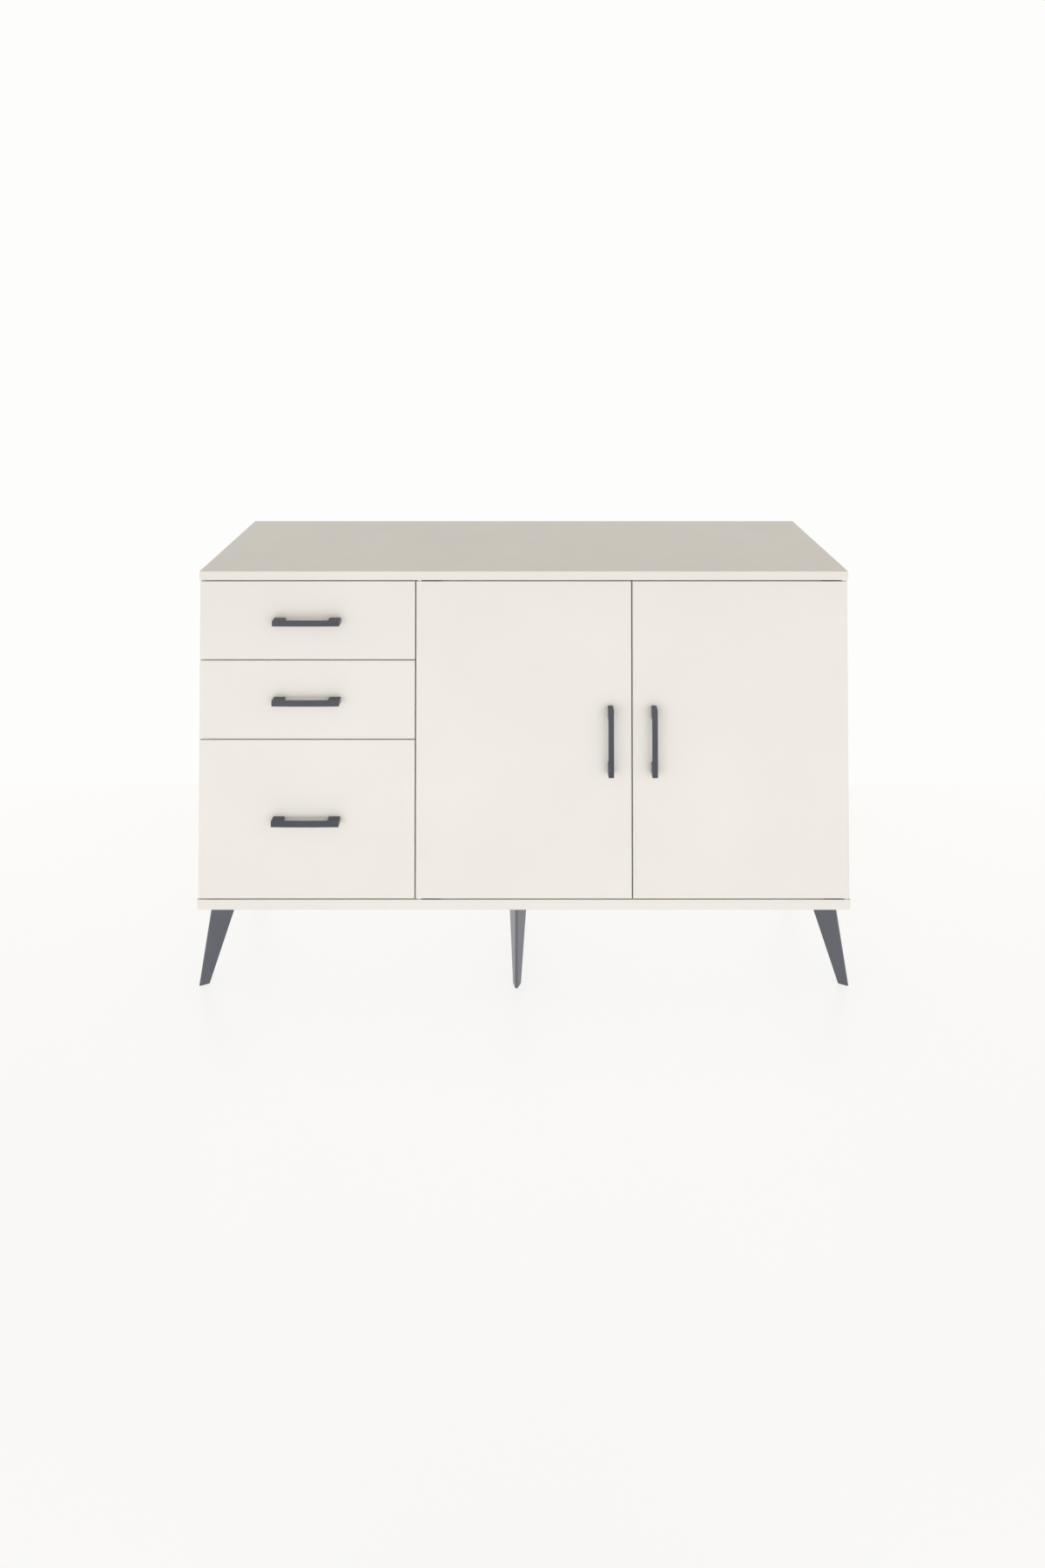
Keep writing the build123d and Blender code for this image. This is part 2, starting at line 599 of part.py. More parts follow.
# ---------------------------------------------------------------- drawers
FRONT_CX = DRAWER_X0 + FRONT_W / 2
for name, (z0, z1, box_h, rz) in DRAWERS.items():
    cz = (z0 + z1) / 2
    bz0, bz1 = z0 + 18, z0 + 18 + box_h
    cams = [(s, z) for s in (0, 1) for z in (bz0 + 27, bz1 - 18)]
    floor_z = bz0 + 10

    with BuildPart() as front:
        with BuildSketch(Plane.XZ.offset(-Y_FRONT)):
            with Locations((FRONT_CX, cz)):
                Rectangle(FRONT_W, z1 - z0)
        extrude(amount=-FRONT_T)
        with BuildSketch(Plane.XZ.offset(-Y_FRONT)):
            with Locations(*handle_holes(FRONT_CX, cz, False)):
                Circle(2.06)
        extrude(amount=-FRONT_T, mode=Mode.SUBTRACT)
        for s, z in cams:
            bx = BOX_X0 + BOX_T / 2 if s == 0 else BOX_X1 - BOX_T / 2
            add(rod((bx, BOX_Y0 + 0.01, z), (0, -1, 0), 2.56, 10.0), mode=Mode.SUBTRACT)
        with BuildSketch(Plane.XY.offset(floor_z)):
            with Locations(((BOX_X0 + BOX_X1) / 2, BOX_Y0 - 2.5)):
                Rectangle(BOX_X1 - BOX_X0 - 2 * BOX_T, 5.0)
        extrude(amount=3.2, mode=Mode.SUBTRACT)
    save(front.part, name + "_front")

    handle = handle_profile_h(FRONT_CX, cz)
    save(handle, name + "_handle")

    for s, (sx0, sx1) in enumerate(((BOX_X0, BOX_X0 + BOX_T), (BOX_X1 - BOX_T, BOX_X1))):
        xin = sx1 if s == 0 else sx0
        xout = sx0 if s == 0 else sx1
        inw = 1 if s == 0 else -1
        with BuildPart() as box_side:
            with BuildSketch(Plane.XY.offset(bz0)):
                with Locations(((sx0 + sx1) / 2, (BOX_Y0 + BOX_Y1) / 2)):
                    Rectangle(BOX_T, BOX_Y1 - BOX_Y0)
            extrude(amount=box_h)
            with BuildSketch(Plane.XY.offset(floor_z)):
                with Locations((xin - inw * 2.5, (BOX_Y0 + BOX_Y1) / 2)):
                    Rectangle(5.0, BOX_Y1 - BOX_Y0)
            extrude(amount=3.2, mode=Mode.SUBTRACT)
            for cs, z in cams:
                if cs == s:
                    add(rod((xin + inw * 0.01, BOX_Y0 + 24, z), (-inw, 0, 0), 6.06, 9.6), mode=Mode.SUBTRACT)
                    add(rod(((sx0 + sx1) / 2, BOX_Y0 - 0.01, z), (0, 1, 0), 2.56, 24), mode=Mode.SUBTRACT)
            for y in RUN_SCREW_Y:
                add(screw_hole((xout, y, bz0 + rz), (inw, 0, 0), 1.75, 9.0), mode=Mode.SUBTRACT)
            for z in (bz0 + 22, bz1 - 15):
                add(screw_hole((xout, BOX_Y1 - 6, z), (inw, 0, 0), 1.75, 12.5, 3.5, 2.0), mode=Mode.SUBTRACT)
        save(box_side.part, name + ("_left_side" if s == 0 else "_right_side"))

    with BuildPart() as box_back:
        with BuildSketch(Plane.XY.offset(floor_z + 3.1)):
            with Locations(((BOX_X0 + BOX_X1) / 2, BOX_Y1 - BOX_T / 2)):
                Rectangle(BOX_X1 - BOX_X0 - 2 * BOX_T, BOX_T)
        extrude(amount=bz1 - floor_z - 3.1)
        for z in (bz0 + 22, bz1 - 15):
            add(screw_hole((BOX_X0, BOX_Y1 - 6, z), (1, 0, 0), 1.75, 36.0), mode=Mode.SUBTRACT)
            add(screw_hole((BOX_X1, BOX_Y1 - 6, z), (-1, 0, 0), 1.75, 36.0), mode=Mode.SUBTRACT)
    save(box_back.part, name + "_back")

    with BuildPart() as box_bottom:
        with BuildSketch(Plane.XY.offset(floor_z)):
            with Locations(((BOX_X0 + BOX_X1) / 2, (BOX_Y0 + BOX_Y1) / 2)):
                Rectangle(BOX_X1 - BOX_X0 - 2 * BOX_T + 9.4, BOX_Y1 - BOX_Y0)
            with Locations(((BOX_X0 + BOX_X1) / 2, BOX_Y0 - 2.3)):
                Rectangle(BOX_X1 - BOX_X0 - 2 * BOX_T - 0.8, 4.6)
        extrude(amount=3.0)
    save(box_bottom.part, name + "_bottom")

    with BuildPart() as fasteners:
        for x, z in handle_holes(FRONT_CX, cz, False):
            add(screw((x, BOX_Y0, z), (0, -1, 0), 2.0, 25.0, 3.8, 2.0))
        for s, z in cams:
            xin = BOX_X0 + BOX_T if s == 0 else BOX_X1 - BOX_T
            inw = 1 if s == 0 else -1
            mid = BOX_X0 + BOX_T / 2 if s == 0 else BOX_X1 - BOX_T / 2
            with BuildPart(mode=Mode.PRIVATE) as cam:
                with BuildSketch(Plane(origin=(xin, BOX_Y0 + 24, z), z_dir=(-inw, 0, 0))):
                    Circle(6.0)
                extrude(amount=9.5)
                add(rod((mid, BOX_Y0, z), (0, 1, 0), 2.56, 22.0), mode=Mode.SUBTRACT)
            add(cam.part)
            add(rod((mid, BOX_Y0 - 9.9, z), (0, 1, 0), 2.5, 31.0))
        for y in RUN_SCREW_Y:
            add(screw((BOX_X0 - 1.2, y, bz0 + rz), (1, 0, 0), 1.75, 10.0, 3.4, 0.8))
            add(screw((BOX_X1 + 1.2, y, bz0 + rz), (-1, 0, 0), 1.75, 10.0, 3.4, 0.8))
        for z in (bz0 + 22, bz1 - 15):
            add(screw((BOX_X0, BOX_Y1 - 6, z), (1, 0, 0), 1.75, 35.0, 3.5, 2.0, True))
            add(screw((BOX_X1, BOX_Y1 - 6, z), (-1, 0, 0), 1.75, 35.0, 3.5, 2.0, True))
    save(fasteners.part, name + "_fasteners")

    with BuildPart() as inner_rails:
        add(channel(INNER, DBAY[0], 1, bz0 + rz, RUN_Y0, RUN_L, RUN_SCREW_Y))
        add(channel(INNER, DBAY[1], -1, bz0 + rz, RUN_Y0, RUN_L, RUN_SCREW_Y))
    save(inner_rails.part, name + "_inner_rails")

    with BuildPart() as middle_rails:
        add(channel(MIDDLE, DBAY[0], 1, bz0 + rz, RUN_Y0, RUN_L, ()))
        add(channel(MIDDLE, DBAY[1], -1, bz0 + rz, RUN_Y0, RUN_L, ()))
    save(middle_rails.part, name + "_middle_rails")

# ---------------------------------------------------------------- doors
DOORS = {
    "left_door": (LEFT_DOOR_X0, 159.6),
    "right_door": (RIGHT_DOOR_X0, 239.7),
}
DOOR_CZ = (Z_F0 + Z_F1) / 2
for name, (x0, hx) in DOORS.items():
    ax, sd = HINGES[name]
    cx = CATCH_X[name]
    with BuildPart() as door:
        with BuildSketch(Plane.XZ.offset(-Y_FRONT)):
            with Locations((x0 + FRONT_W / 2, DOOR_CZ)):
                Rectangle(FRONT_W, Z_F1 - Z_F0)
            with Locations(*handle_holes(hx, DOOR_CZ, True)):
                Circle(2.06, mode=Mode.SUBTRACT)
        extrude(amount=-FRONT_T)
        for z, up in ((Z_F1, -1), (Z_F0, 1)):
            lo = z - PLATE_T if up < 0 else z
            with BuildSketch(Plane.XY.offset(lo)):
                with Locations((ax + sd * 19.0, PIVOT_Y)):
                    SlotCenterToCenter(38.0, 7.0)
            extrude(amount=PLATE_T, mode=Mode.SUBTRACT)
            add(rod((ax, PIVOT_Y, z), (0, 0, up), PIN_R + 0.2, 9.0), mode=Mode.SUBTRACT)
            for u in PLATE_SCREWS:
                add(rod((ax + sd * u, PIVOT_Y, z), (0, 0, up), 1.56, 13.0), mode=Mode.SUBTRACT)
        add(rod((cx, Y_FRONT + FRONT_T + 0.01, Z_CEIL - 8), (0, -1, 0), 1.56, 11.0), mode=Mode.SUBTRACT)
    save(door.part, name + "_panel")

    handle = handle_profile_v(hx, DOOR_CZ)
    save(handle, name + "_handle")

    with BuildPart() as plates:
        for z0, up in ((Z_F1 - PLATE_T, 1), (Z_F0, -1)):
            add(pivot_plate_solid(ax, sd, z0, PIN_R + 0.05))
            for u in PLATE_SCREWS:
                zf = z0 + PLATE_T if up > 0 else z0
                add(screw_hole((ax + sd * u, PIVOT_Y, zf), (0, 0, -up), 1.5, 4.0, 2.8, 1.3), mode=Mode.SUBTRACT)
    save(plates.part, name + "_pivot_plates")

    with BuildPart() as strike:
        with BuildSketch(Plane.XZ.offset(-(Y_FRONT + FRONT_T))):
            with Locations((cx, Z_CEIL - 8)):
                RectangleRounded(24, 9, 2)
                Circle(1.56, mode=Mode.SUBTRACT)
        extrude(amount=-0.8)
    save(strike.part, name + "_strike_plate")

    with BuildPart() as screws:
        for x, z in handle_holes(hx, DOOR_CZ, True):
            add(screw((x, Y_FRONT + FRONT_T, z), (0, -1, 0), 2.0, 25.0, 3.8, 2.0))
        for u in PLATE_SCREWS:
            add(screw((ax + sd * u, PIVOT_Y, Z_F1), (0, 0, -1), 1.5, 12.5, 2.8, 1.3, True))
            add(screw((ax + sd * u, PIVOT_Y, Z_F0), (0, 0, 1), 1.5, 12.5, 2.8, 1.3, True))
        add(screw((cx, Y_FRONT + FRONT_T + 0.8, Z_CEIL - 8), (0, -1, 0), 1.5, 11.0, 2.6, 0.6))
    save(screws.part, name + "_screws")
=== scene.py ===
import json
import math
import random

import bmesh
import bpy
from mathutils import Matrix, Vector

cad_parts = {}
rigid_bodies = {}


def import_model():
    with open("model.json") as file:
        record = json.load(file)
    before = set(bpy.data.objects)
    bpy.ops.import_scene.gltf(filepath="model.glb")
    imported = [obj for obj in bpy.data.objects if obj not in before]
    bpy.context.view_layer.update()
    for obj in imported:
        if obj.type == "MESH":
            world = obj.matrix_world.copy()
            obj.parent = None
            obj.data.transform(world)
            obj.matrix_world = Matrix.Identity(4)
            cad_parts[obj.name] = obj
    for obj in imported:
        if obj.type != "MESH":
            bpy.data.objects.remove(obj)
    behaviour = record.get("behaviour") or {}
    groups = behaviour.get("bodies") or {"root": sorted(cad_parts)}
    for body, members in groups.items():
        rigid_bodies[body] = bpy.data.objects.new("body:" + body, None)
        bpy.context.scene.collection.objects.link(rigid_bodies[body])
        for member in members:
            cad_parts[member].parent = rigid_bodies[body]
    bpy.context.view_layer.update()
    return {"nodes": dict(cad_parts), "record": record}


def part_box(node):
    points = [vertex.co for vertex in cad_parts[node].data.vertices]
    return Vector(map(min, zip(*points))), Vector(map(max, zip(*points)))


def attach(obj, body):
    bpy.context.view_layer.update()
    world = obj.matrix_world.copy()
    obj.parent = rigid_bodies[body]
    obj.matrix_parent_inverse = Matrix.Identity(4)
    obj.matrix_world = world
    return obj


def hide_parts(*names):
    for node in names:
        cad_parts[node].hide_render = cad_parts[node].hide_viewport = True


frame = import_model()
scene = bpy.context.scene
NODES = frame["nodes"]
MM = 0.001

for o in [o for o in bpy.data.objects if o.name in ("Cube", "Light", "Camera")]:
    bpy.data.objects.remove(o)

# ------------------------------------------------------------------ places taken from the frame
TOP_LO, TOP_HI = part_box("top_panel")
BOT_LO, BOT_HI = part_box("bottom_panel")
Y_FRONT = TOP_LO.y if hasattr(TOP_LO, "y") else TOP_LO[1]
Y_BACK = TOP_HI[1]
HEIGHT = TOP_HI[2]


# ------------------------------------------------------------------ node helpers
def new_material(name):
    m = bpy.data.materials.new(name)
    m.use_nodes = True
    nt = m.node_tree
    for n in list(nt.nodes):
        nt.nodes.remove(n)
    out = nt.nodes.new("ShaderNodeOutputMaterial")
    bsdf = nt.nodes.new("ShaderNodeBsdfPrincipled")
    nt.links.new(bsdf.outputs["BSDF"], out.inputs["Surface"])
    return m, nt, bsdf


def node(nt, kind, **values):
    n = nt.nodes.new(kind)
    for k, v in values.items():
        setattr(n, k, v)
    return n


def math_node(nt, op, a, b=None, c=None):
    n = nt.nodes.new("ShaderNodeMath")
    n.operation = op
    for i, v in enumerate((a, b, c)):
        if v is None:
            continue
        if isinstance(v, (int, float)):
            n.inputs[i].default_value = v
        else:
            nt.links.new(v, n.inputs[i])
    return n.outputs[0]


def noise(nt, coord, scale, detail=3.0, rough=0.5, stretch=None):
    src = coord
    if stretch:
        mp = nt.nodes.new("ShaderNodeMapping")
        mp.inputs["Scale"].default_value = stretch
        nt.links.new(coord, mp.inputs["Vector"])
        src = mp.outputs["Vector"]
    n = nt.nodes.new("ShaderNodeTexNoise")
    n.inputs["Scale"].default_value = scale
    n.inputs["Detail"].default_value = detail
    n.inputs["Roughness"].default_value = rough
    nt.links.new(src, n.inputs["Vector"])
    return n.outputs["Fac"]


def ramp(nt, fac, stops):
    r = nt.nodes.new("ShaderNodeValToRGB")
    el = r.color_ramp.elements
    while len(el) > 1:
        el.remove(el[-1])
    el[0].position, el[0].color = stops[0][0], tuple(stops[0][1]) + (1.0,)
    for p, c in stops[1:]:
        e = el.new(p)
        e.color = tuple(c) + (1.0,)
    nt.links.new(fac, r.inputs["Fac"])
    return r.outputs["Color"]


def mix_colour(nt, fac, a, b, blend="MIX"):
    n = nt.nodes.new("ShaderNodeMix")
    n.data_type = "RGBA"
    n.blend_type = blend
    n.clamp_factor = True
    if isinstance(fac, (int, float)):
        n.inputs[0].default_value = fac
    else:
        nt.links.new(fac, n.inputs[0])
    for sock, v in ((n.inputs[6], a), (n.inputs[7], b)):
        if isinstance(v, (tuple, list)):
            sock.default_value = tuple(v) + (1.0,)
        else:
            nt.links.new(v, sock)
    return n.outputs[2]


def remap(nt, value, a0, a1, b0, b1):
    n = nt.nodes.new("ShaderNodeMapRange")
    n.inputs["From Min"].default_value = a0
    n.inputs["From Max"].default_value = a1
    n.inputs["To Min"].default_value = b0
    n.inputs["To Max"].default_value = b1
    nt.links.new(value, n.inputs["Value"])
    return n.outputs["Result"]


def bump(nt, bsdf, layers):
    """Stack of bump layers: (height, strength, distance in metres)."""
    normal = None
    for h, strength, dist in layers:
        b = nt.nodes.new("ShaderNodeBump")
        b.inputs["Strength"].default_value = strength
        b.inputs["Distance"].default_value = dist
        nt.links.new(h, b.inputs["Height"])
        if normal is not None:
            nt.links.new(normal, b.inputs["Normal"])
        normal = b.outputs["Normal"]
    nt.links.new(normal, bsdf.inputs["Normal"])


def srgb(r, g, b):
    def f(v):
        v /= 255.0
        return v / 12.92 if v <= 0.04045 else ((v + 0.055) / 1.055) ** 2.4
    return (f(r), f(g), f(b))


CREAM = srgb(235.0, 231.1, 225.8)
CREAM_EDGE = srgb(229, 224, 215)


def edge_distance(nt, coord, lo, hi):
    """Distance from a point on a board's face to the nearest edge of that face."""
    sep = nt.nodes.new("ShaderNodeSeparateXYZ")
    nt.links.new(coord, sep.inputs[0])
    d = []
    for i in range(3):
        a = math_node(nt, "SUBTRACT", sep.outputs[i], float(lo[i]))
        b = math_node(nt, "SUBTRACT", float(hi[i]), sep.outputs[i])
        d.append(math_node(nt, "MINIMUM", a, b))
    small = math_node(nt, "MINIMUM", d[0], d[1])
    big = math_node(nt, "MAXIMUM", d[0], d[1])
    return math_node(nt, "MAXIMUM", small, math_node(nt, "MINIMUM", big, d[2]))


def board_material(name, lo, hi, raw_side=None, band=False):
    """Satin melamine board with an edge band; raw_side paints one face as bare fibreboard."""
    m, nt, bsdf = new_material(name)
    tc = node(nt, "ShaderNodeTexCoord")
    co = tc.outputs["Object"]
    cloud = noise(nt, co, 5.0, 2.0, 0.45)
    base = ramp(nt, cloud, [(0.30, [c * 0.985 for c in CREAM]), (0.70, [min(1.0, c * 1.012) for c in CREAM])])
    fleck = noise(nt, co, 900.0, 3.0, 0.65)
    fleck_mask = remap(nt, fleck, 0.64, 0.74, 0.0, 0.10)
    base = mix_colour(nt, fleck_mask, base, [c * 0.80 for c in CREAM])
    # the joint between the face foil and the edge band, and the fine rub on the corner itself
    dist = edge_distance(nt, co, lo, hi)
    wob = noise(nt, co, 160.0, 2.0, 0.5)
    dw = math_node(nt, "ADD", dist, math_node(nt, "MULTIPLY", math_node(nt, "SUBTRACT", wob, 0.5), 0.0004))
    line = math_node(nt, "MULTIPLY", remap(nt, dw, 0.0007, 0.0010, 0.0, 1.0), remap(nt, dw, 0.0010, 0.0013, 1.0, 0.0))
    base = mix_colour(nt, math_node(nt, "MULTIPLY", line, 0.16), base, [c * 0.72 for c in CREAM_EDGE])
    rub = remap(nt, dw, 0.0002, 0.0009, 0.45, 0.0)
    rubn = math_node(nt, "MULTIPLY", rub, remap(nt, noise(nt, co, 60.0, 3.0, 0.6), 0.45, 0.65, 0.0, 1.0))
    base = mix_colour(nt, rubn, base, [min(1.0, c * 1.06) for c in CREAM])
    rough = remap(nt, noise(nt, co, 22.0, 3.0, 0.55), 0.3, 0.7, 0.40, 0.48)
    if band:
        # edge banding of the doors and drawer fronts is a shade warmer than their faces
        sep = nt.nodes.new("ShaderNodeSeparateXYZ")
        nt.links.new(tc.outputs["Normal"], sep.inputs[0])
        narrow = math_node(nt, "LESS_THAN", math_node(nt, "ABSOLUTE", sep.outputs[1]), 0.4)
        base = mix_colour(nt, math_node(nt, "MULTIPLY", narrow, 0.55), base, (0.88, 0.815, 0.705))
    if raw_side is not None:
        axis, sign = raw_side
        sep = nt.nodes.new("ShaderNodeSeparateXYZ")
        nt.links.new(tc.outputs["Normal"], sep.inputs[0])
        side = math_node(nt, "GREATER_THAN", math_node(nt, "MULTIPLY", sep.outputs[axis], float(sign)), 0.5)
        fibre = noise(nt, co, 420.0, 5.0, 0.72)
        raw = ramp(nt, fibre, [(0.30, srgb(126, 98, 70)), (0.5, srgb(152, 122, 91)), (0.72, srgb(176, 147, 114))])
        blot = remap(nt, noise(nt, co, 9.0, 3.0, 0.5), 0.35, 0.7, 0.0, 0.25)
        raw = mix_colour(nt, blot, raw, srgb(132, 104, 77))
        base = mix_colour(nt, side, base, raw)
        rough = math_node(nt, "ADD", rough, math_node(nt, "MULTIPLY", side, 0.30))
    nt.links.new(base, bsdf.inputs["Base Color"])
    nt.links.new(rough, bsdf.inputs["Roughness"])
    bsdf.inputs["Specular IOR Level"].default_value = 0.30
    peel = noise(nt, co, 260.0, 2.0, 0.5)
    grain = noise(nt, co, 1900.0, 2.0, 0.6)
    bump(nt, bsdf, [(peel, 0.10, 0.00010), (grain, 0.10, 0.00004), (line, 0.12, 0.00008)])
    return m


def powder_coat(name, tone, level=0.72, coat=0.0):
    """Fine matt powder coat on steel or die-cast: faint grain, slight colour drift, soft sheen."""
    m, nt, bsdf = new_material(name)
    tc = node(nt, "ShaderNodeTexCoord")
    co = tc.outputs["Object"]
    drift = noise(nt, co, 14.0, 2.0, 0.5)
    base = ramp(nt, drift, [(0.3, [c * 0.93 for c in tone]), (0.7, [c * 1.07 for c in tone])])
    spark = remap(nt, noise(nt, co, 2600.0, 2.0, 0.5), 0.60, 0.72, 0.0, 0.22)
    base = mix_colour(nt, spark, base, [min(1.0, c * 1.9) for c in tone])
    nt.links.new(base, bsdf.inputs["Base Color"])
    rough = remap(nt, noise(nt, co, 180.0, 3.0, 0.55), 0.3, 0.7, 0.28, 0.38)
    nt.links.new(rough, bsdf.inputs["Roughness"])
    bsdf.inputs["Metallic"].default_value = 0.0
    bsdf.inputs["Specular IOR Level"].default_value = level
    bsdf.inputs["Coat Weight"].default_value = coat
    bsdf.inputs["Coat Roughness"].default_value = 0.26
    bsdf.inputs["Coat IOR"].default_value = 1.5
    grain = noise(nt, co, 1500.0, 2.0, 0.5)
    peel = noise(nt, co, 330.0, 1.0, 0.5)
    bump(nt, bsdf, [(peel, 0.12, 0.00010), (grain, 0.22, 0.00005)])
    return m


def zinc(name, stretch):
    """Bright zinc plate on rolled or turned steel, with fine draw lines and a faint colour bloom."""
    m, nt, bsdf = new_material(name)
    tc = node(nt, "ShaderNodeTexCoord")
    co = tc.outputs["Object"]
    bloom = noise(nt, co, 55.0, 3.0, 0.6)
    base = ramp(nt, bloom, [(0.25, srgb(186, 189, 193)), (0.5, srgb(195, 197, 198)), (0.8, srgb(202, 201, 196))])
    nt.links.new(base, bsdf.inputs["Base Color"])
    bsdf.inputs["Metallic"].default_value = 1.0
    lines = noise(nt, co, 1400.0, 3.0, 0.6, stretch)
    rough = remap(nt, lines, 0.3, 0.7, 0.24, 0.42)
    nt.links.new(rough, bsdf.inputs["Roughness"])
    bump(nt, bsdf, [(lines, 0.12, 0.00003)])
    return m


def plastic(name, tone, rough0=0.38, steel_before_y=None):
    """Moulded plastic with a fine spark-eroded texture, and bright steel before a given depth."""
    m, nt, bsdf = new_material(name)
    tc = node(nt, "ShaderNodeTexCoord")
    co = tc.outputs["Object"]
    base = ramp(nt, noise(nt, co, 70.0, 2.0, 0.5), [(0.3, [c * 0.96 for c in tone]), (0.7, [min(1.0, c * 1.02) for c in tone])])
    rough = remap(nt, noise(nt, co, 700.0, 3.0, 0.6), 0.3, 0.7, rough0, rough0 + 0.12)
    if steel_before_y is not None:
        sep = node(nt, "ShaderNodeSeparateXYZ")
        nt.links.new(co, sep.inputs[0])
        steel = math_node(nt, "LESS_THAN", sep.outputs["Y"], steel_before_y)
        base = mix_colour(nt, steel, base, srgb(196, 198, 200))
        rough = math_node(nt, "SUBTRACT", rough, math_node(nt, "MULTIPLY", steel, 0.16))
        nt.links.new(steel, bsdf.inputs["Metallic"])
    nt.links.new(base, bsdf.inputs["Base Color"])
    nt.links.new(rough, bsdf.inputs["Roughness"])
    bump(nt, bsdf, [(noise(nt, co, 2200.0, 2.0, 0.5), 0.18, 0.00004)])
    return m


def beech(name):
    m, nt, bsdf = new_material(name)
    tc = node(nt, "ShaderNodeTexCoord")
    co = tc.outputs["Object"]
    grain = noise(nt, co, 500.0, 4.0, 0.6, (1.0, 1.0, 0.06))
    base = ramp(nt, grain, [(0.3, srgb(176, 133, 88)), (0.55, srgb(205, 166, 120)), (0.8, srgb(222, 188, 146))])
    nt.links.new(base, bsdf.inputs["Base Color"])
    nt.links.new(remap(nt, grain, 0.3, 0.7, 0.5, 0.65), bsdf.inputs["Roughness"])
    bump(nt, bsdf, [(grain, 0.3, 0.0001)])
    return m


ANTHRACITE = (0.0530, 0.0590, 0.0785)
MAT_COAT = powder_coat("anthracite_coat", ANTHRACITE, 0.72, 0.6)
MAT_GRIP = powder_coat("anthracite_coat_handles", [c * 0.97 for c in ANTHRACITE], 0.38)
MAT_ZINC_Y = zinc("zinc_rolled", (1.0, 0.02, 1.0))
MAT_ZINC = zinc("zinc_turned", (1.0, 1.0, 1.0))
MAT_PLASTIC = plastic("white_moulding", srgb(226, 225, 220))
MAT_CATCH = plastic("catch_moulding", srgb(226, 225, 220), 0.38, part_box("magnet_catches")[0][1] + 0.0007)
MAT_BEECH = beech("beech_dowel_wood")


# ------------------------------------------------------------------ finishing of carried-over CAD nodes
def smooth_group():
    g = bpy.data.node_groups.new("shade_soft", "GeometryNodeTree")
    g.interface.new_socket("Geometry", in_out="INPUT", socket_type="NodeSocketGeometry")
    g.interface.new_socket("Geometry", in_out="OUTPUT", socket_type="NodeSocketGeometry")
    gi, go = g.nodes.new("NodeGroupInput"), g.nodes.new("NodeGroupOutput")
    s = g.nodes.new("GeometryNodeSetShadeSmooth")
    g.links.new(gi.outputs[0], s.inputs["Geometry"])
    g.links.new(s.outputs["Geometry"], go.inputs[0])
    return g


SOFT = smooth_group()


def finish_node(name, material, width, segments=2, angle=30.0):
    """Gives a CAD node its material and broken, softly shaded edges."""
    o = NODES[name]
    o.data.materials.clear()
    o.data.materials.append(material)
    w = o.modifiers.new("weld", "WELD")
    w.merge_threshold = 0.000002
    d = o.modifiers.new("planar", "DECIMATE")
    d.decimate_type = "DISSOLVE"
    d.angle_limit = math.radians(0.3)
    if width > 0:
        b = o.modifiers.new("edges", "BEVEL")
        b.width = width * MM
        b.segments = segments
        b.limit_method = "ANGLE"
        b.angle_limit = math.radians(angle)
        b.use_clamp_overlap = True
        b.miter_outer = "MITER_ARC"
        b.profile = 0.5
    s = o.modifiers.new("shade", "NODES")
    s.node_group = SOFT
    n = o.modifiers.new("normals", "WEIGHTED_NORMAL")
    n.keep_sharp = False
    n.weight = 80
    n.mode = "FACE_AREA"
    return o


RAW = {"back_panel": (1, 1.0)}
for d in ("top", "middle", "bottom"):
    RAW[d + "_drawer_bottom"] = (2, -1.0)

for name in NODES:
    slot = next(s["material_slot"] for s in frame["record"]["subparts"] if s["node"] == name)
    lo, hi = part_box(name)
    if slot in ("cream_board", "hdf_board"):
        facing = name.endswith("_front") or name.endswith("door_panel")
        mat = board_material("board_" + name, lo, hi, RAW.get(name), facing)
        finish_node(name, mat, 0.25 if slot == "hdf_board" else 0.35 if facing else 0.5, 3)
    elif slot == "anthracite_metal":
        finish_node(name, MAT_GRIP if "handle" in name else MAT_COAT, 0.4, 3)
    elif slot == "white_plastic":
        finish_node(name, MAT_CATCH if name == "magnet_catches" else MAT_PLASTIC, 0.3, 2)
    elif slot == "beech_dowel":
        finish_node(name, MAT_BEECH, 0.0)
    elif "rails" in name:
        finish_node(name, MAT_ZINC_Y, 0.25, 2)
    else:
        finish_node(name, MAT_ZINC, 0.12, 2)

# ------------------------------------------------------------------ mesh helpers for the detailed pieces
rng = random.Random(11)


def finish_bm(bm, angle=32.0):
    """Welds, fixes the normals, and shades smooth with sharp edges where the surface turns hard."""
    bmesh.ops.remove_doubles(bm, verts=bm.verts[:], dist=0.0000015)
    bmesh.ops.recalc_face_normals(bm, faces=bm.faces[:])
    lim = math.radians(angle)
    for f in bm.faces:
        f.smooth = True
    for e in bm.edges:
        e.smooth = len(e.link_faces) == 2 and e.calc_face_angle(math.pi) < lim


def piece(name, bm, material, body, angle=32.0, nodes=()):
    """Makes a piece from a bmesh, rides it on its body and lets it stand for CAD nodes."""
    finish_bm(bm, angle)
    me = bpy.data.meshes.new(name)
    bm.to_mesh(me)
    bm.free()
    o = bpy.data.objects.new(name, me)
    scene.collection.objects.link(o)
    for m in (material if isinstance(material, (list, tuple)) else [material]):
        me.materials.append(m)
    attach(o, body)
    if nodes:
        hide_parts(*nodes)
    return o


def mesh_of(bm):
    me = bpy.data.meshes.new("scrap")
    bm.to_mesh(me)
    bm.free()
    return me


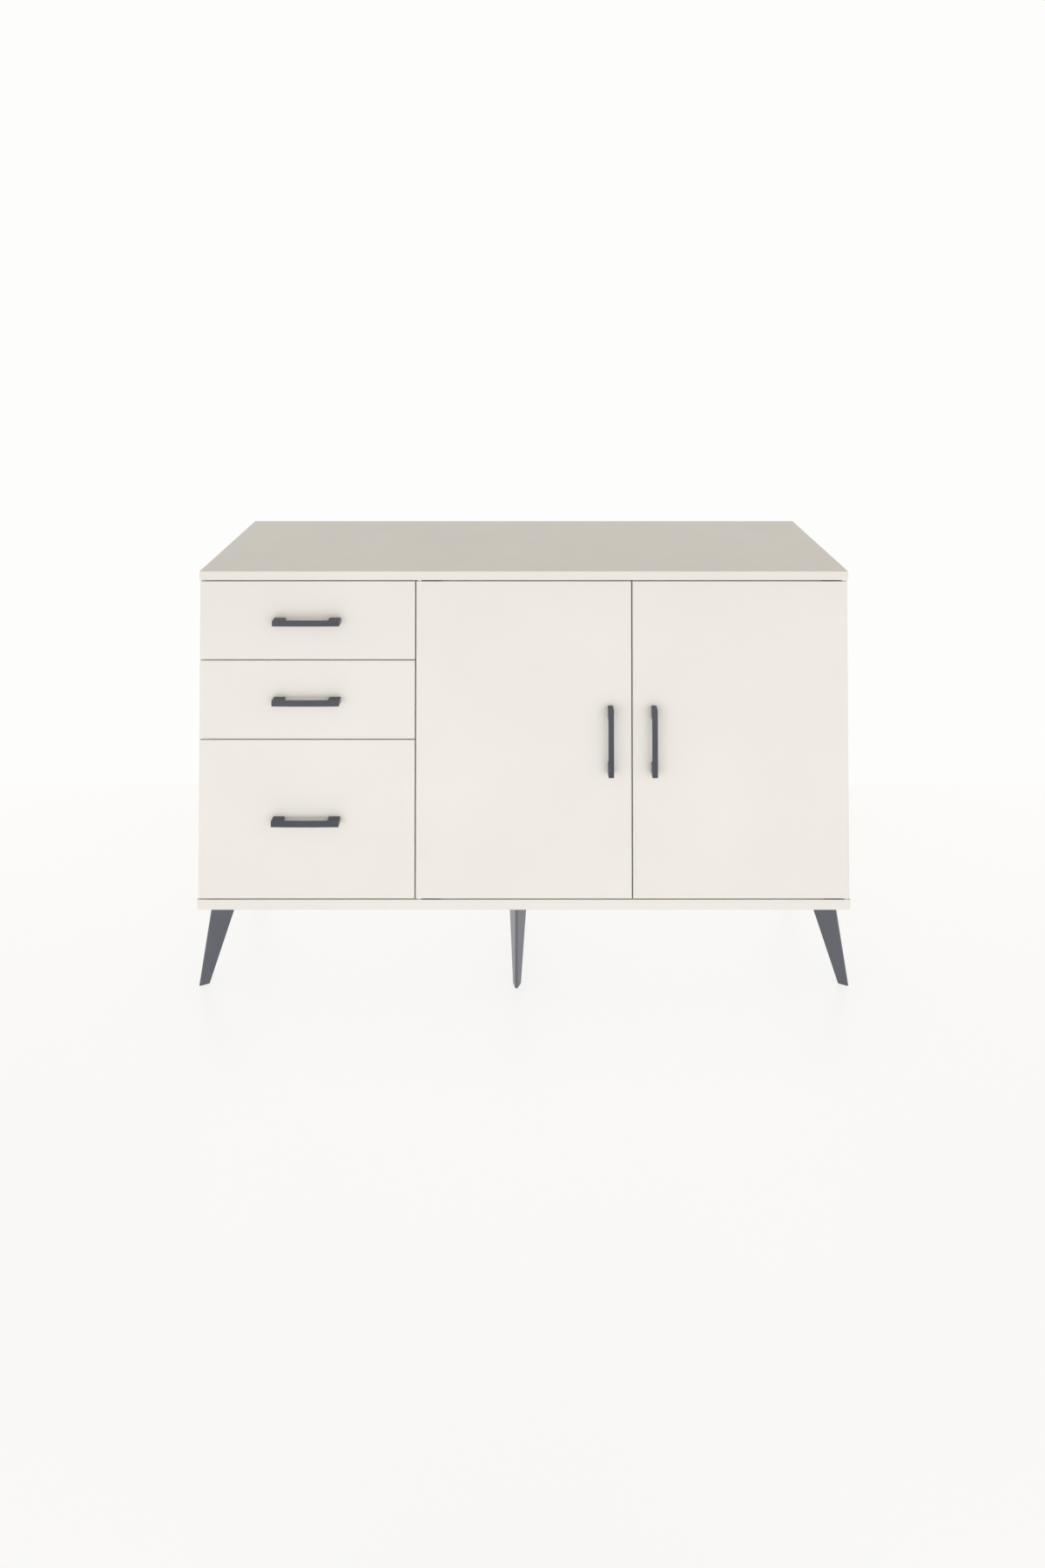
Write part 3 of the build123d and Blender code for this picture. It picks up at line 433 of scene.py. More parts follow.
def carve(solid, cutter):
    """The first mesh less the second, as a mesh."""
    a = bpy.data.objects.new("scrap_a", solid)
    b = bpy.data.objects.new("scrap_b", cutter)
    scene.collection.objects.link(a)
    scene.collection.objects.link(b)
    m = a.modifiers.new("cut", "BOOLEAN")
    m.object = b
    m.operation = "DIFFERENCE"
    m.solver = "EXACT"
    m.use_self = True
    dg = bpy.context.evaluated_depsgraph_get()
    out = bpy.data.meshes.new_from_object(a.evaluated_get(dg))
    for o in (a, b):
        bpy.data.objects.remove(o)
    return out


def stamp(bm, me, matrix, mat_index=0):
    """Adds a mesh to a bmesh under a matrix."""
    n, f = len(bm.verts), len(bm.faces)
    bm.from_mesh(me)
    bm.verts.ensure_lookup_table()
    bm.faces.ensure_lookup_table()
    bmesh.ops.transform(bm, matrix=matrix, verts=bm.verts[n:])
    for face in bm.faces[f:]:
        face.material_index = mat_index


def lathe(profile, seg):
    """Solid of revolution about Z from (radius, height) points, closed at its poles."""
    bm = bmesh.new()
    rings = []
    for r, z in profile:
        if r < 1e-9:
            rings.append([bm.verts.new((0, 0, z))])
        else:
            rings.append([bm.verts.new((r * math.cos(2 * math.pi * i / seg), r * math.sin(2 * math.pi * i / seg), z)) for i in range(seg)])
    for a, b in zip(rings, rings[1:]):
        for i in range(seg):
            j = (i + 1) % seg
            if len(a) == 1:
                bm.faces.new((a[0], b[j], b[i]))
            elif len(b) == 1:
                bm.faces.new((a[i], a[j], b[0]))
            else:
                bm.faces.new((a[i], a[j], b[j], b[i]))
    return bm


def prism(bm, low, high):
    """A closed solid between two rings with the same number of points."""
    a = [bm.verts.new(p) for p in low]
    b = [bm.verts.new(p) for p in high]
    n = len(a)
    bm.faces.new(a[::-1])
    bm.faces.new(b)
    for i in range(n):
        bm.faces.new((a[i], a[(i + 1) % n], b[(i + 1) % n], b[i]))


def cross_cutter(r, top, depth):
    """Tapered cross recess with the four small ribs between its arms."""
    bm = bmesh.new()
    for turn, long_, wide, deep in ((0, 0.60, 0.13, 1.0), (90, 0.60, 0.13, 1.0), (45, 0.30, 0.05, 0.35), (135, 0.30, 0.05, 0.35)):
        c, s = math.cos(math.radians(turn)), math.sin(math.radians(turn))

        def ring(l, w, z):
            return [(x * c - y * s, x * s + y * c, z) for x, y in ((-l, -w), (l, -w), (l, w), (-l, w))]
        prism(bm, ring(r * long_ * 0.42, r * wide * 0.55, top - depth * deep), ring(r * long_, r * wide, top + 0.0004))
    bmesh.ops.recalc_face_normals(bm, faces=bm.faces[:])
    return mesh_of(bm)


def screw_mesh(kind, r, h, shank_r, length):
    """A screw with a crossed recess. Z points out of the head; the head bears on z = 0."""
    if kind == "pan":
        prof = [(0, h), (r * 0.30, h * 0.995), (r * 0.55, h * 0.95), (r * 0.76, h * 0.84), (r * 0.90, h * 0.66),
                (r * 0.97, h * 0.42), (r, h * 0.18), (r * 0.985, 0.0)]
        top, deep = h, min(h * 0.72, r * 0.6)
    else:
        prof = [(0, -0.00003), (r * 0.90, -0.00003), (r * 0.985, -0.0001), (r * 0.985, -0.00022)]
        top, deep = 0.0, r * 0.40
    neck = -0.0 if kind == "pan" else -h
    prof += [(shank_r, neck)]
    pitch = shank_r * 0.75
    z = neck - 0.0006
    while z > neck - length + shank_r * 2.2:
        prof += [(shank_r * 0.74, z), (shank_r * 0.99, z - pitch * 0.42), (shank_r * 0.74, z - pitch * 0.70)]
        z -= pitch
    prof += [(shank_r * 0.6, neck - length + shank_r), (0, neck - length + shank_r * 0.1)]
    me = mesh_of(lathe(prof, 28))
    return carve(me, cross_cutter(r, top, deep))


def islands(node):
    """The separate solids of a CAD node as lists of (vertices, faces by index)."""
    bm = bmesh.new()
    bm.from_mesh(NODES[node].data)
    bmesh.ops.remove_doubles(bm, verts=bm.verts[:], dist=0.000002)
    bm.verts.ensure_lookup_table()
    left = set(range(len(bm.verts)))
    out = []
    while left:
        start = min(left)
        stack, got = [start], {start}
        while stack:
            v = bm.verts[stack.pop()]
            for e in v.link_edges:
                k = e.other_vert(v).index
                if k not in got:
                    got.add(k)
                    stack.append(k)
        left -= got
        keep = sorted(got)
        at = {k: i for i, k in enumerate(keep)}
        faces = {f.index: [at[v.index] for v in f.verts] for k in keep for f in bm.verts[k].link_faces}
        out.append(([bm.verts[k].co.copy() for k in keep], [faces[i] for i in sorted(faces)]))
    bm.free()
    return out


def read_screw(verts):
    """Kind, bearing point, outward axis and sizes of a CAD screw from its own vertices, or None."""
    lo = Vector([min(v[i] for v in verts) for i in range(3)])
    hi = Vector([max(v[i] for v in verts) for i in range(3)])
    size = hi - lo
    ax = max(range(3), key=lambda i: size[i])
    o1, o2 = [i for i in range(3) if i != ax]
    if abs(size[o1] - size[o2]) > 0.0002 or size[ax] < size[o1] * 1.3:
        return None
    c = (lo + hi) / 2
    rad = max(size[o1], size[o2]) / 2

    def rr(v):
        return math.hypot(v[o1] - c[o1], v[o2] - c[o2])
    rim = [v[ax] for v in verts if rr(v) > rad - 0.00006]
    mid = (min(rim) + max(rim)) / 2
    out = 1.0 if mid > c[ax] else -1.0
    if abs(mid - c[ax]) < size[ax] * 0.2:
        return None
    end = hi[ax] if out > 0 else lo[ax]
    far = lo[ax] if out > 0 else hi[ax]
    thick = max(rim) - min(rim)
    shank = min((rr(v) for v in verts if abs(v[ax] - far) < 0.0004), default=rad * 0.5)
    shank = max([rr(v) for v in verts if abs(v[ax] - far) < 0.0001] + [shank])
    point = c.copy()
    axis = Vector((0, 0, 0))
    axis[ax] = out
    if thick < 0.00005:
        kind, bearing, h = "sunk", end, (rad - shank) * 1.0
    else:
        bearing = min(rim) if out > 0 else max(rim)
        kind, h = "pan", abs(end - bearing)
    point[ax] = bearing
    return kind, point, axis, rad, h, shank, abs(far - bearing)


SCREW_CACHE = {}


def detail_screws(node, body, material):
    """Rebuilds a fastener node with threaded screws that have crossed recesses, and keeps its other solids."""
    bm = bmesh.new()
    for verts, faces in islands(node):
        got = read_screw(verts)
        if got is None:
            new = [bm.verts.new(v) for v in verts]
            made = []
            for f in faces:
                try:
                    made.append(bm.faces.new([new[i] for i in f]))
                except ValueError:
                    pass
            bmesh.ops.dissolve_limit(bm, angle_limit=math.radians(0.5), verts=new, edges=list({e for f in made for e in f.edges}))
            continue
        kind, point, axis, r, h, sr, length = got
        key = (kind, round(r, 5), round(h, 5), round(sr, 5), round(length, 4))
        if key not in SCREW_CACHE:
            SCREW_CACHE[key] = screw_mesh(kind, r, h, sr, length - (h if kind == "sunk" else 0.0))
        turn = Matrix.Rotation(rng.uniform(0, math.pi / 2), 4, "Z")
        stamp(bm, SCREW_CACHE[key], Matrix.Translation(point) @ axis.to_track_quat("Z", "Y").to_matrix().to_4x4() @ turn)
    return piece(node + "_detail", bm, material, body, 30.0, (node,))


# ------------------------------------------------------------------ screws
for screws in ["leg_screws", "hardware_screws", "left_door_screws", "right_door_screws"] + [d + "_drawer_fasteners" for d in ("top", "middle", "bottom")]:
    detail_screws(screws, "cabinet" if screws in ("leg_screws", "hardware_screws") else screws.rsplit("_", 1)[0], MAT_ZINC)


# ------------------------------------------------------------------ telescopic runners
def arc(cx, cz, r, a0, a1, n):
    return [(cx + r * math.cos(math.radians(a0 + (a1 - a0) * i / n)), cz + r * math.sin(math.radians(a0 + (a1 - a0) * i / n))) for i in range(n + 1)]


def mirror_path(half):
    return half + [(w, -z) for w, z in reversed(half)]


def thick_path(path, t):
    """Left and right offsets of an open path."""
    left, right = [], []
    for i, p in enumerate(path):
        a = path[max(i - 1, 0)]
        b = path[min(i + 1, len(path) - 1)]
        dx, dz = b[0] - a[0], b[1] - a[1]
        l = math.hypot(dx, dz)
        nx, nz = -dz / l, dx / l
        k = 1.0
        if 0 < i < len(path) - 1:
            d1 = Vector((p[0] - a[0], p[1] - a[1])).normalized()
            d2 = Vector((b[0] - p[0], b[1] - p[1])).normalized()
            k = 1.0 / max(0.5, math.sqrt((1 + d1.dot(d2)) / 2))
        left.append((p[0] + nx * t / 2 * k, p[1] + nz * t / 2 * k))
        right.append((p[0] - nx * t / 2 * k, p[1] - nz * t / 2 * k))
    return left, right


def channel_mesh(path, t, length):
    """Rolled sheet channel along +Y from 0, in millimetres of (w, z), with its ends slightly broken."""
    left, right = thick_path(path, t)
    bm = bmesh.new()
    stations = [(0.0, 0.12), (0.12, 0.0), (length - 0.12, 0.0), (length, 0.12)]
    rows = []
    for y, shrink in stations:
        row = []
        for (lx, lz), (rx, rz) in zip(left, right):
            mx, mz = (lx + rx) / 2, (lz + rz) / 2
            k = 1 - shrink / (t / 2)
            row.append((bm.verts.new((mx + (lx - mx) * k, y, mz + (lz - mz) * k)), bm.verts.new((mx + (rx - mx) * k, y, mz + (rz - mz) * k))))
        rows.append(row)
    n = len(left)
    for r0, r1 in zip(rows, rows[1:]):
        for i in range(n - 1):
            bm.faces.new((r0[i][0], r0[i + 1][0], r1[i + 1][0], r1[i][0]))
            bm.faces.new((r0[i][1], r1[i][1], r1[i + 1][1], r0[i + 1][1]))
        bm.faces.new((r0[0][0], r1[0][0], r1[0][1], r0[0][1]))
        bm.faces.new((r0[n - 1][0], r0[n - 1][1], r1[n - 1][1], r1[n - 1][0]))
    for row in (rows[0], rows[-1]):
        for i in range(n - 1):
            bm.faces.new((row[i][0], row[i][1], row[i + 1][1], row[i + 1][0]))
    bmesh.ops.recalc_face_normals(bm, faces=bm.faces[:])
    return mesh_of(bm)


def slots_cutter(specs, w0, w1):
    """Oblong punches through the web: (y, z, half length along y, half length along z, radius)."""
    bm = bmesh.new()
    for y, z, hy, hz, r in specs:
        ring = []
        for k in range(24):
            a = 2 * math.pi * (k + 0.5) / 24
            ring.append((y + math.copysign(hy, math.cos(a)) + r * math.cos(a), z + math.copysign(hz, math.sin(a)) + r * math.sin(a)))
        prism(bm, [(w0, p[0], p[1]) for p in ring], [(w1, p[0], p[1]) for p in ring])
    bmesh.ops.recalc_face_normals(bm, faces=bm.faces[:])
    return mesh_of(bm)


OUT_PATH = mirror_path([(8.55, 21.25), (8.15, 21.62), (7.4, 21.85), (6.6, 21.9)] + arc(3.2, 19.3, 2.6, 90, 180, 7))
MID_PATH = mirror_path([(9.4, 18.35), (9.0, 18.72), (8.3, 18.92), (7.4, 18.95)] + arc(5.2, 16.7, 2.25, 90, 180, 7))
INN_PATH = mirror_path([(4.7, 15.3), (5.1, 15.67), (5.8, 15.87), (6.6, 15.9)] + arc(9.7, 13.5, 2.4, 90, 0, 7))

run_lo, run_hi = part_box("runner_outer_rails")
RUN_LEN = (run_hi[1] - run_lo[1]) * 1000
outer_me = carve(channel_mesh(OUT_PATH, 1.2, RUN_LEN),
                 slots_cutter([(36, 0, 0.01, 0.01, 1.85), (290, 0, 0.01, 0.01, 1.85), (64, 0, 3.5, 0.01, 2.2), (256, 0, 3.5, 0.01, 2.2),
                               (100, 0, 0.01, 3.0, 2.2), (160, 0, 9, 0.01, 4.0), (210, 0, 9, 0.01, 4.0), (330, 0, 0.01, 3.0, 2.2)], -1, 2.3))
middle_me = carve(channel_mesh(MID_PATH, 1.1, RUN_LEN),
                  slots_cutter([(26, 0, 5, 0.01, 4.2), (66, 8.5, 7, 0.01, 1.6), (66, -8.5, 7, 0.01, 1.6), (150, 0, 16, 0.01, 3.4), (215, 0, 16, 0.01, 3.4),
                                (290, 8.5, 7, 0.01, 1.6), (290, -8.5, 7, 0.01, 1.6), (326, 0, 5, 0.01, 4.2)], 1.4, 4.6))
inner_me = carve(channel_mesh(INN_PATH, 1.2, RUN_LEN),
                 slots_cutter([(36, 0, 0.01, 0.01, 1.85), (290, 0, 0.01, 0.01, 1.85), (14, 0, 3.0, 0.01, 2.2), (58, 0, 0.01, 3.5, 2.2),
                               (90, 7.5, 3.0, 0.01, 1.6), (90, -7.5, 3.0, 0.01, 1.6), (190, 0, 14, 0.01, 3.6), (245, 0, 0.01, 3.5, 2.2), (322, 0, 5, 0.01, 2.6)], 10.5, 13.5))


def ball_cage(web_w, race_z, race_w1, ball_w, ball_r, length, pitch):
    """Ball retainer: a thin pressed strip whose flanges hold a row of balls above and below."""
    t = 0.26
    path = mirror_path([(race_w1, race_z), (race_w1 - 1.0, race_z)] + arc(web_w + 1.4, race_z - 1.4, 1.4, 90, 180, 5))
    strip = channel_mesh(path, t, length)
    strip = carve(strip, slots_cutter([(length * f, 0, length * 0.09, 0.01, 5.0) for f in (0.2, 0.5, 0.8)], web_w - 1, web_w + 1))
    bm = bmesh.new()
    stamp(bm, strip, Matrix.Identity(4), 0)
    ball = bmesh.new()
    bmesh.ops.create_icosphere(ball, subdivisions=2, radius=ball_r)
    ball_me = mesh_of(ball)
    y = pitch * 0.7
    while y < length - pitch * 0.5:
        for s in (-1, 1):
            stamp(bm, ball_me, Matrix.Translation((ball_w, y, s * race_z)), 1)
        y += pitch
    return mesh_of(bm)


outer_cage = ball_cage(2.17, 20.4, 7.6, 5.2, 0.88, 118.0, 7.2)
inner_cage = ball_cage(3.80, 17.42, 8.9, 6.6, 0.90, 96.0, 7.2)


def release_lever():
    """Black disconnect lever: a hub, a sprung arm and a ribbed finger pad."""
    out = [(0, -2.2), (0.8, -3.2), (7, -4.2), (17, -4.4), (24, -3.4), (31, 0.2), (38, 3.4), (43, 4.4), (47, 6.8), (48.5, 9.6), (47.5, 10.8), (45, 10.4),
           (41.5, 7.2), (36, 6.2), (30, 4.4), (24, 3.0), (17, 4.2), (7, 4.2), (0.8, 3.2), (0, 2.2)]
    bm = bmesh.new()
    prism(bm, [(9.1, y, z) for y, z in out], [(11.2, y, z) for y, z in out])
    for k in range(4):
        y0 = 40.5 + 1.7 * k
        prism(bm, [(8.8, y0, 4.9 + k * 0.7), (8.8, y0 + 0.8, 5.2 + k * 0.7), (8.8, y0 + 0.5, 7.4 + k * 0.7), (8.8, y0 - 0.3, 7.1 + k * 0.7)],
              [(9.4, y0, 4.9 + k * 0.7), (9.4, y0 + 0.8, 5.2 + k * 0.7), (9.4, y0 + 0.5, 7.4 + k * 0.7), (9.4, y0 - 0.3, 7.1 + k * 0.7)])
    hub = lathe([(0, 1.25), (2.3, 1.25), (2.9, 0.95), (3.1, 0.4), (3.1, 0), (0, 0)], 20)
    stamp(bm, mesh_of(hub), Matrix.Translation((9.25, 12.0, 0)) @ Matrix.Rotation(-math.pi / 2, 4, "Y"))
    bmesh.ops.recalc_face_normals(bm, faces=bm.faces[:])
    bmesh.ops.bevel(bm, geom=[e for e in bm.edges if len(e.link_faces) == 2 and e.calc_face_angle(0) > 1.0], offset=0.25, segments=2, profile=0.6, affect="EDGES")
    return mesh_of(bm)


lever_me = release_lever()


def side_matrix(wall, sign, y0, zc):
    """Takes runner millimetres (w, y, z) to metres beside a wall of the drawer bay."""
    return Matrix(((sign * MM, 0, 0, wall), (0, MM, 0, y0), (0, 0, MM, zc), (0, 0, 0, 1)))


MAT_BALL = zinc("ball_steel", (1.0, 1.0, 1.0))
MAT_BLACK = plastic("black_moulding", srgb(44, 45, 48), 0.42)
outer_bm = bmesh.new()
cage_bm = bmesh.new()
for d in ("top", "middle", "bottom"):
    lo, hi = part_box(d + "_drawer_inner_rails")
    zc = (lo[2] + hi[2]) / 2
    mid_bm, inn_bm, icage_bm, lever_bm = bmesh.new(), bmesh.new(), bmesh.new(), bmesh.new()
    for wall, sign in ((run_lo[0], 1.0), (run_hi[0], -1.0)):
        m = side_matrix(wall, sign, run_lo[1], zc)
        stamp(outer_bm, outer_me, m)
        stamp(cage_bm, outer_cage, side_matrix(wall, sign, run_lo[1] + 0.006, zc), 0)
        stamp(mid_bm, middle_me, m)
        stamp(inn_bm, inner_me, m)
        stamp(icage_bm, inner_cage, side_matrix(wall, sign, run_lo[1] + 0.004, zc), 0)
        stamp(lever_bm, lever_me, side_matrix(wall, sign, run_lo[1] + 0.112, zc))
    piece(d + "_drawer_middle_rails_detail", mid_bm, MAT_ZINC_Y, d + "_drawer_rail", 25, (d + "_drawer_middle_rails",))
    piece(d + "_drawer_inner_rails_detail", inn_bm, MAT_ZINC_Y, d + "_drawer", 25, (d + "_drawer_inner_rails",))
    piece(d + "_drawer_inner_ball_cages", icage_bm, MAT_BALL, d + "_drawer_rail", 40)
    piece(d + "_drawer_release_levers", lever_bm, MAT_BLACK, d + "_drawer", 30)
piece("runner_outer_rails_detail", outer_bm, MAT_ZINC_Y, "cabinet", 25, ("runner_outer_rails",))
piece("runner_outer_ball_cages", cage_bm, MAT_BALL, "cabinet", 40)


# ------------------------------------------------------------------ weld beads where the folded legs meet their plates
def leg_outline(node):
    """Closed loop of points where a leg's sheet meets the underside of its plate."""
    bm = bmesh.new()
    bm.from_mesh(NODES[node].data)
    bmesh.ops.remove_doubles(bm, verts=bm.verts[:], dist=0.000002)
    z_top = max(v.co.z for v in bm.verts)
    levels = sorted({round(v.co.z, 5) for v in bm.verts if z_top - 0.0045 < v.co.z < z_top - 0.0015})
    zp = levels[0]
    links = {}
    for e in bm.edges:
        a, b = e.verts
        if abs(a.co.z - zp) > 1e-5 or abs(b.co.z - zp) > 1e-5:
            continue
        if any(min(v.co.z for v in f.verts) < zp - 0.0001 for f in e.link_faces):
            links.setdefault(a.index, []).append(b.index)
            links.setdefault(b.index, []).append(a.index)
    pts = {v.index: v.co.copy() for v in bm.verts}
    bm.free()
    start = min(links)
    loop, prev, cur = [start], None, start
    while True:
        nxt = [k for k in links[cur] if k != prev]
        if not nxt or nxt[0] == start:
            break
        prev, cur = cur, nxt[0]
        loop.append(cur)
        if len(loop) > 500:
            break
    return [pts[k] for k in loop]


def weld_bead(bm, loop, radius, ripple):
    """A rippled bead laid along a closed horizontal loop."""
    total = sum((loop[(i + 1) % len(loop)] - loop[i]).length for i in range(len(loop)))
    n = int(total / 0.00085)
    samples, i, done = [], 0, 0.0
    seg = (loop[1] - loop[0]).length
    for k in range(n):
        s = total * k / n
        while s > done + seg and i < len(loop) - 1:
            done += seg
            i += 1
            seg = (loop[(i + 1) % len(loop)] - loop[i]).length
        a, b = loop[i], loop[(i + 1) % len(loop)]
        samples.append((a.lerp(b, (s - done) / seg if seg else 0), (b - a).normalized(), s))
    rings = []
    for k, (p, t, s) in enumerate(samples):
        tt = (samples[(k + 2) % n][0] - samples[k - 2][0]).normalized()
        side = tt.cross(Vector((0, 0, 1)))
        phase = (s / ripple) % 1.0
        r = radius * (0.90 + 0.16 * math.sin(math.pi * phase) + 0.05 * math.sin(s * 900.0 + 1.3) + 0.03 * rng.uniform(-1, 1))
        rings.append([bm.verts.new(p + side * (r * math.cos(2 * math.pi * j / 10)) + Vector((0, 0, 1)) * (r * 0.95 * math.sin(2 * math.pi * j / 10))) for j in range(10)])
    for k in range(n):
        a, b = rings[k], rings[(k + 1) % n]
        for j in range(10):
            bm.faces.new((a[j], a[(j + 1) % 10], b[(j + 1) % 10], b[j]))


weld_bm = bmesh.new()
for leg in NODES:
    if leg.endswith("_leg"):
        weld_bead(weld_bm, leg_outline(leg), 0.00125, 0.0021)
piece("leg_weld_beads", weld_bm, MAT_COAT, "cabinet", 60)

# ------------------------------------------------------------------ bumper dots on the drawer fronts, screws in the back panel
MAT_DOT = plastic("bumper_dot_clear", srgb(214, 216, 213), 0.16)
dot_me = mesh_of(lathe([(0, 0.00155), (0.0010, 0.00150), (0.0018, 0.00134), (0.0024, 0.00106), (0.0028, 0.00068), (0.0030, 0.0003), (0.0030, 0.0), (0, 0)], 24))
div_lo, div_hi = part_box("centre_divider")
side_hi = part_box("left_side_panel")[1]
for d in ("top", "middle", "bottom"):
    lo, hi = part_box(d + "_drawer_front")
    bm = bmesh.new()
    for x in ((lo[0] + side_hi[0]) / 2 - 0.001, (hi[0] + div_lo[0]) / 2):
        for z in (lo[2] + 0.020, hi[2] - 0.020):
            stamp(bm, dot_me, Matrix.Translation((x, hi[1], z)) @ Matrix.Rotation(-math.pi / 2, 4, "X"))
    piece(d + "_drawer_bumper_dots", bm, MAT_DOT, d + "_drawer", 40)

back_lo, back_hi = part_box("back_panel")
rear_screw = screw_mesh("pan", 0.0036, 0.0016, 0.0016, 0.0030)
bm = bmesh.new()
for k in range(5):
    z = back_lo[2] + 0.035 + (back_hi[2] - back_lo[2] - 0.07) * k / 4
    stamp(bm, rear_screw, Matrix.Translation(((div_lo[0] + div_hi[0]) / 2, back_hi[1], z)) @ Matrix.Rotation(-math.pi / 2, 4, "X") @ Matrix.Rotation(rng.uniform(0, 1.5), 4, "Z"))
sh_lo, sh_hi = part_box("shelf")
piece("back_panel_screws", bm, MAT_ZINC, "cabinet", 30)

# ------------------------------------------------------------------ shelf pins with a collar and a rounded end
bm = bmesh.new()
pin_places = []
for verts, faces in islands("shelf_pins"):
    lo = Vector([min(v[i] for v in verts) for i in range(3)])
    hi = Vector([max(v[i] for v in verts) for i in range(3)])
    c = (lo + hi) / 2
    inward = 1.0 if c.x < (sh_lo[0] + sh_hi[0]) / 2 else -1.0
    wall = div_hi[0] if inward > 0 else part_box("right_side_panel")[0][0]
    tip = abs((hi.x if inward > 0 else lo.x) - wall)
    root = abs((lo.x if inward > 0 else hi.x) - wall)
    r = (hi.z - lo.z) / 2
    pin = lathe([(0, tip), (r * 0.62, tip), (r * 0.9, tip - 0.0003), (r, tip - 0.0009), (r, 0.0006), (r * 1.42, 0.0006), (r * 1.5, 0.0004), (r * 1.5, 0.0),
                 (r * 0.98, 0.0), (r * 0.98, -root + 0.0006), (r * 0.8, -root), (0, -root)], 28)
    stamp(bm, mesh_of(pin), Matrix.Translation((wall, c.y, c.z)) @ Vector((inward, 0, 0)).to_track_quat("Z", "Y").to_matrix().to_4x4())
    pin_places.append((Vector((wall, c.y, c.z)), Vector((inward, 0, 0)).to_track_quat("Z", "Y").to_matrix().to_4x4()))
piece("shelf_pins_detail", bm, MAT_ZINC, "cabinet", 30, ("shelf_pins",))

# ------------------------------------------------------------------ caps over the spare shelf-pin holes
cap_me = mesh_of(lathe([(0, 0.00100), (0.0016, 0.00094), (0.0029, 0.00070), (0.0037, 0.00034), (0.0039, 0.0), (0.0039, -0.0003), (0, -0.0003)], 32))
bm = bmesh.new()
for place, turn in pin_places:
    for k in (-2, -1, 1, 2):
        stamp(bm, cap_me, Matrix.Translation(place + Vector((0, 0, 0.032 * k))) @ turn)
piece("spare_hole_caps", bm, plastic("cap_moulding", srgb(231, 226, 218), 0.36), "cabinet", 40)

# ------------------------------------------------------------------ stage
def plane_object(name, pts):
    me = bpy.data.meshes.new(name)
    me.from_pydata(pts, [], [tuple(range(len(pts)))])
    o = bpy.data.objects.new(name, me)
    scene.collection.objects.link(o)
    return o


def stage_material(name, glow, diffuse, rough, bounce=1.0):
    m, nt, bsdf = new_material(name)
    tc = node(nt, "ShaderNodeTexCoord")
    n = noise(nt, tc.outputs["Object"], 3.0, 2.0, 0.5)
    nt.links.new(ramp(nt, n, [(0.3, [c * 0.99 for c in diffuse]), (0.7, diffuse)]), bsdf.inputs["Base Color"])
    bsdf.inputs["Roughness"].default_value = rough
    bsdf.inputs["Specular IOR Level"].default_value = 0.25
    bsdf.inputs["Emission Color"].default_value = (1.0, 0.995, 0.985, 1.0)
    path = node(nt, "ShaderNodeLightPath")
    softer = math_node(nt, "MULTIPLY", path.outputs["Is Diffuse Ray"], glow * (1.0 - bounce))
    nt.links.new(math_node(nt, "SUBTRACT", glow, softer), bsdf.inputs["Emission Strength"])
    return m


WALL_Y = Y_FRONT + 0.789
floor = plane_object("floor", [(-9, -9, 0), (9, -9, 0), (9, WALL_Y, 0), (-9, WALL_Y, 0)])
FLOOR_GLOW = 0.788
FLOOR_BOUNCE = 0.66
floor.data.materials.append(stage_material("pale_floor", FLOOR_GLOW, (0.20, 0.20, 0.20), 0.32, FLOOR_BOUNCE))

# ------------------------------------------------------------------ world and lights
world = bpy.data.worlds.new("studio")
scene.world = world
world.use_nodes = True
wt = world.node_tree
for n in list(wt.nodes):
    wt.nodes.remove(n)
w_out = wt.nodes.new("ShaderNodeOutputWorld")
bg_light = wt.nodes.new("ShaderNodeBackground")
bg_seen = wt.nodes.new("ShaderNodeBackground")
mixer = wt.nodes.new("ShaderNodeMixShader")
lp = wt.nodes.new("ShaderNodeLightPath")
tcw = wt.nodes.new("ShaderNodeTexCoord")
sepw = wt.nodes.new("ShaderNodeSeparateXYZ")
wt.links.new(tcw.outputs["Generated"], sepw.inputs[0])
rw = wt.nodes.new("ShaderNodeValToRGB")
el = rw.color_ramp.elements
el[0].position, el[0].color = 0.0, (1.62, 1.60, 1.55, 1)
el[1].position, el[1].color = 1.0, (0.473, 0.458, 0.399, 1)
e = el.new(0.35)
e.color = (0.80, 0.786, 0.758, 1)
wt.links.new(sepw.outputs["Z"], rw.inputs["Fac"])
wt.links.new(rw.outputs["Color"], bg_light.inputs["Color"])
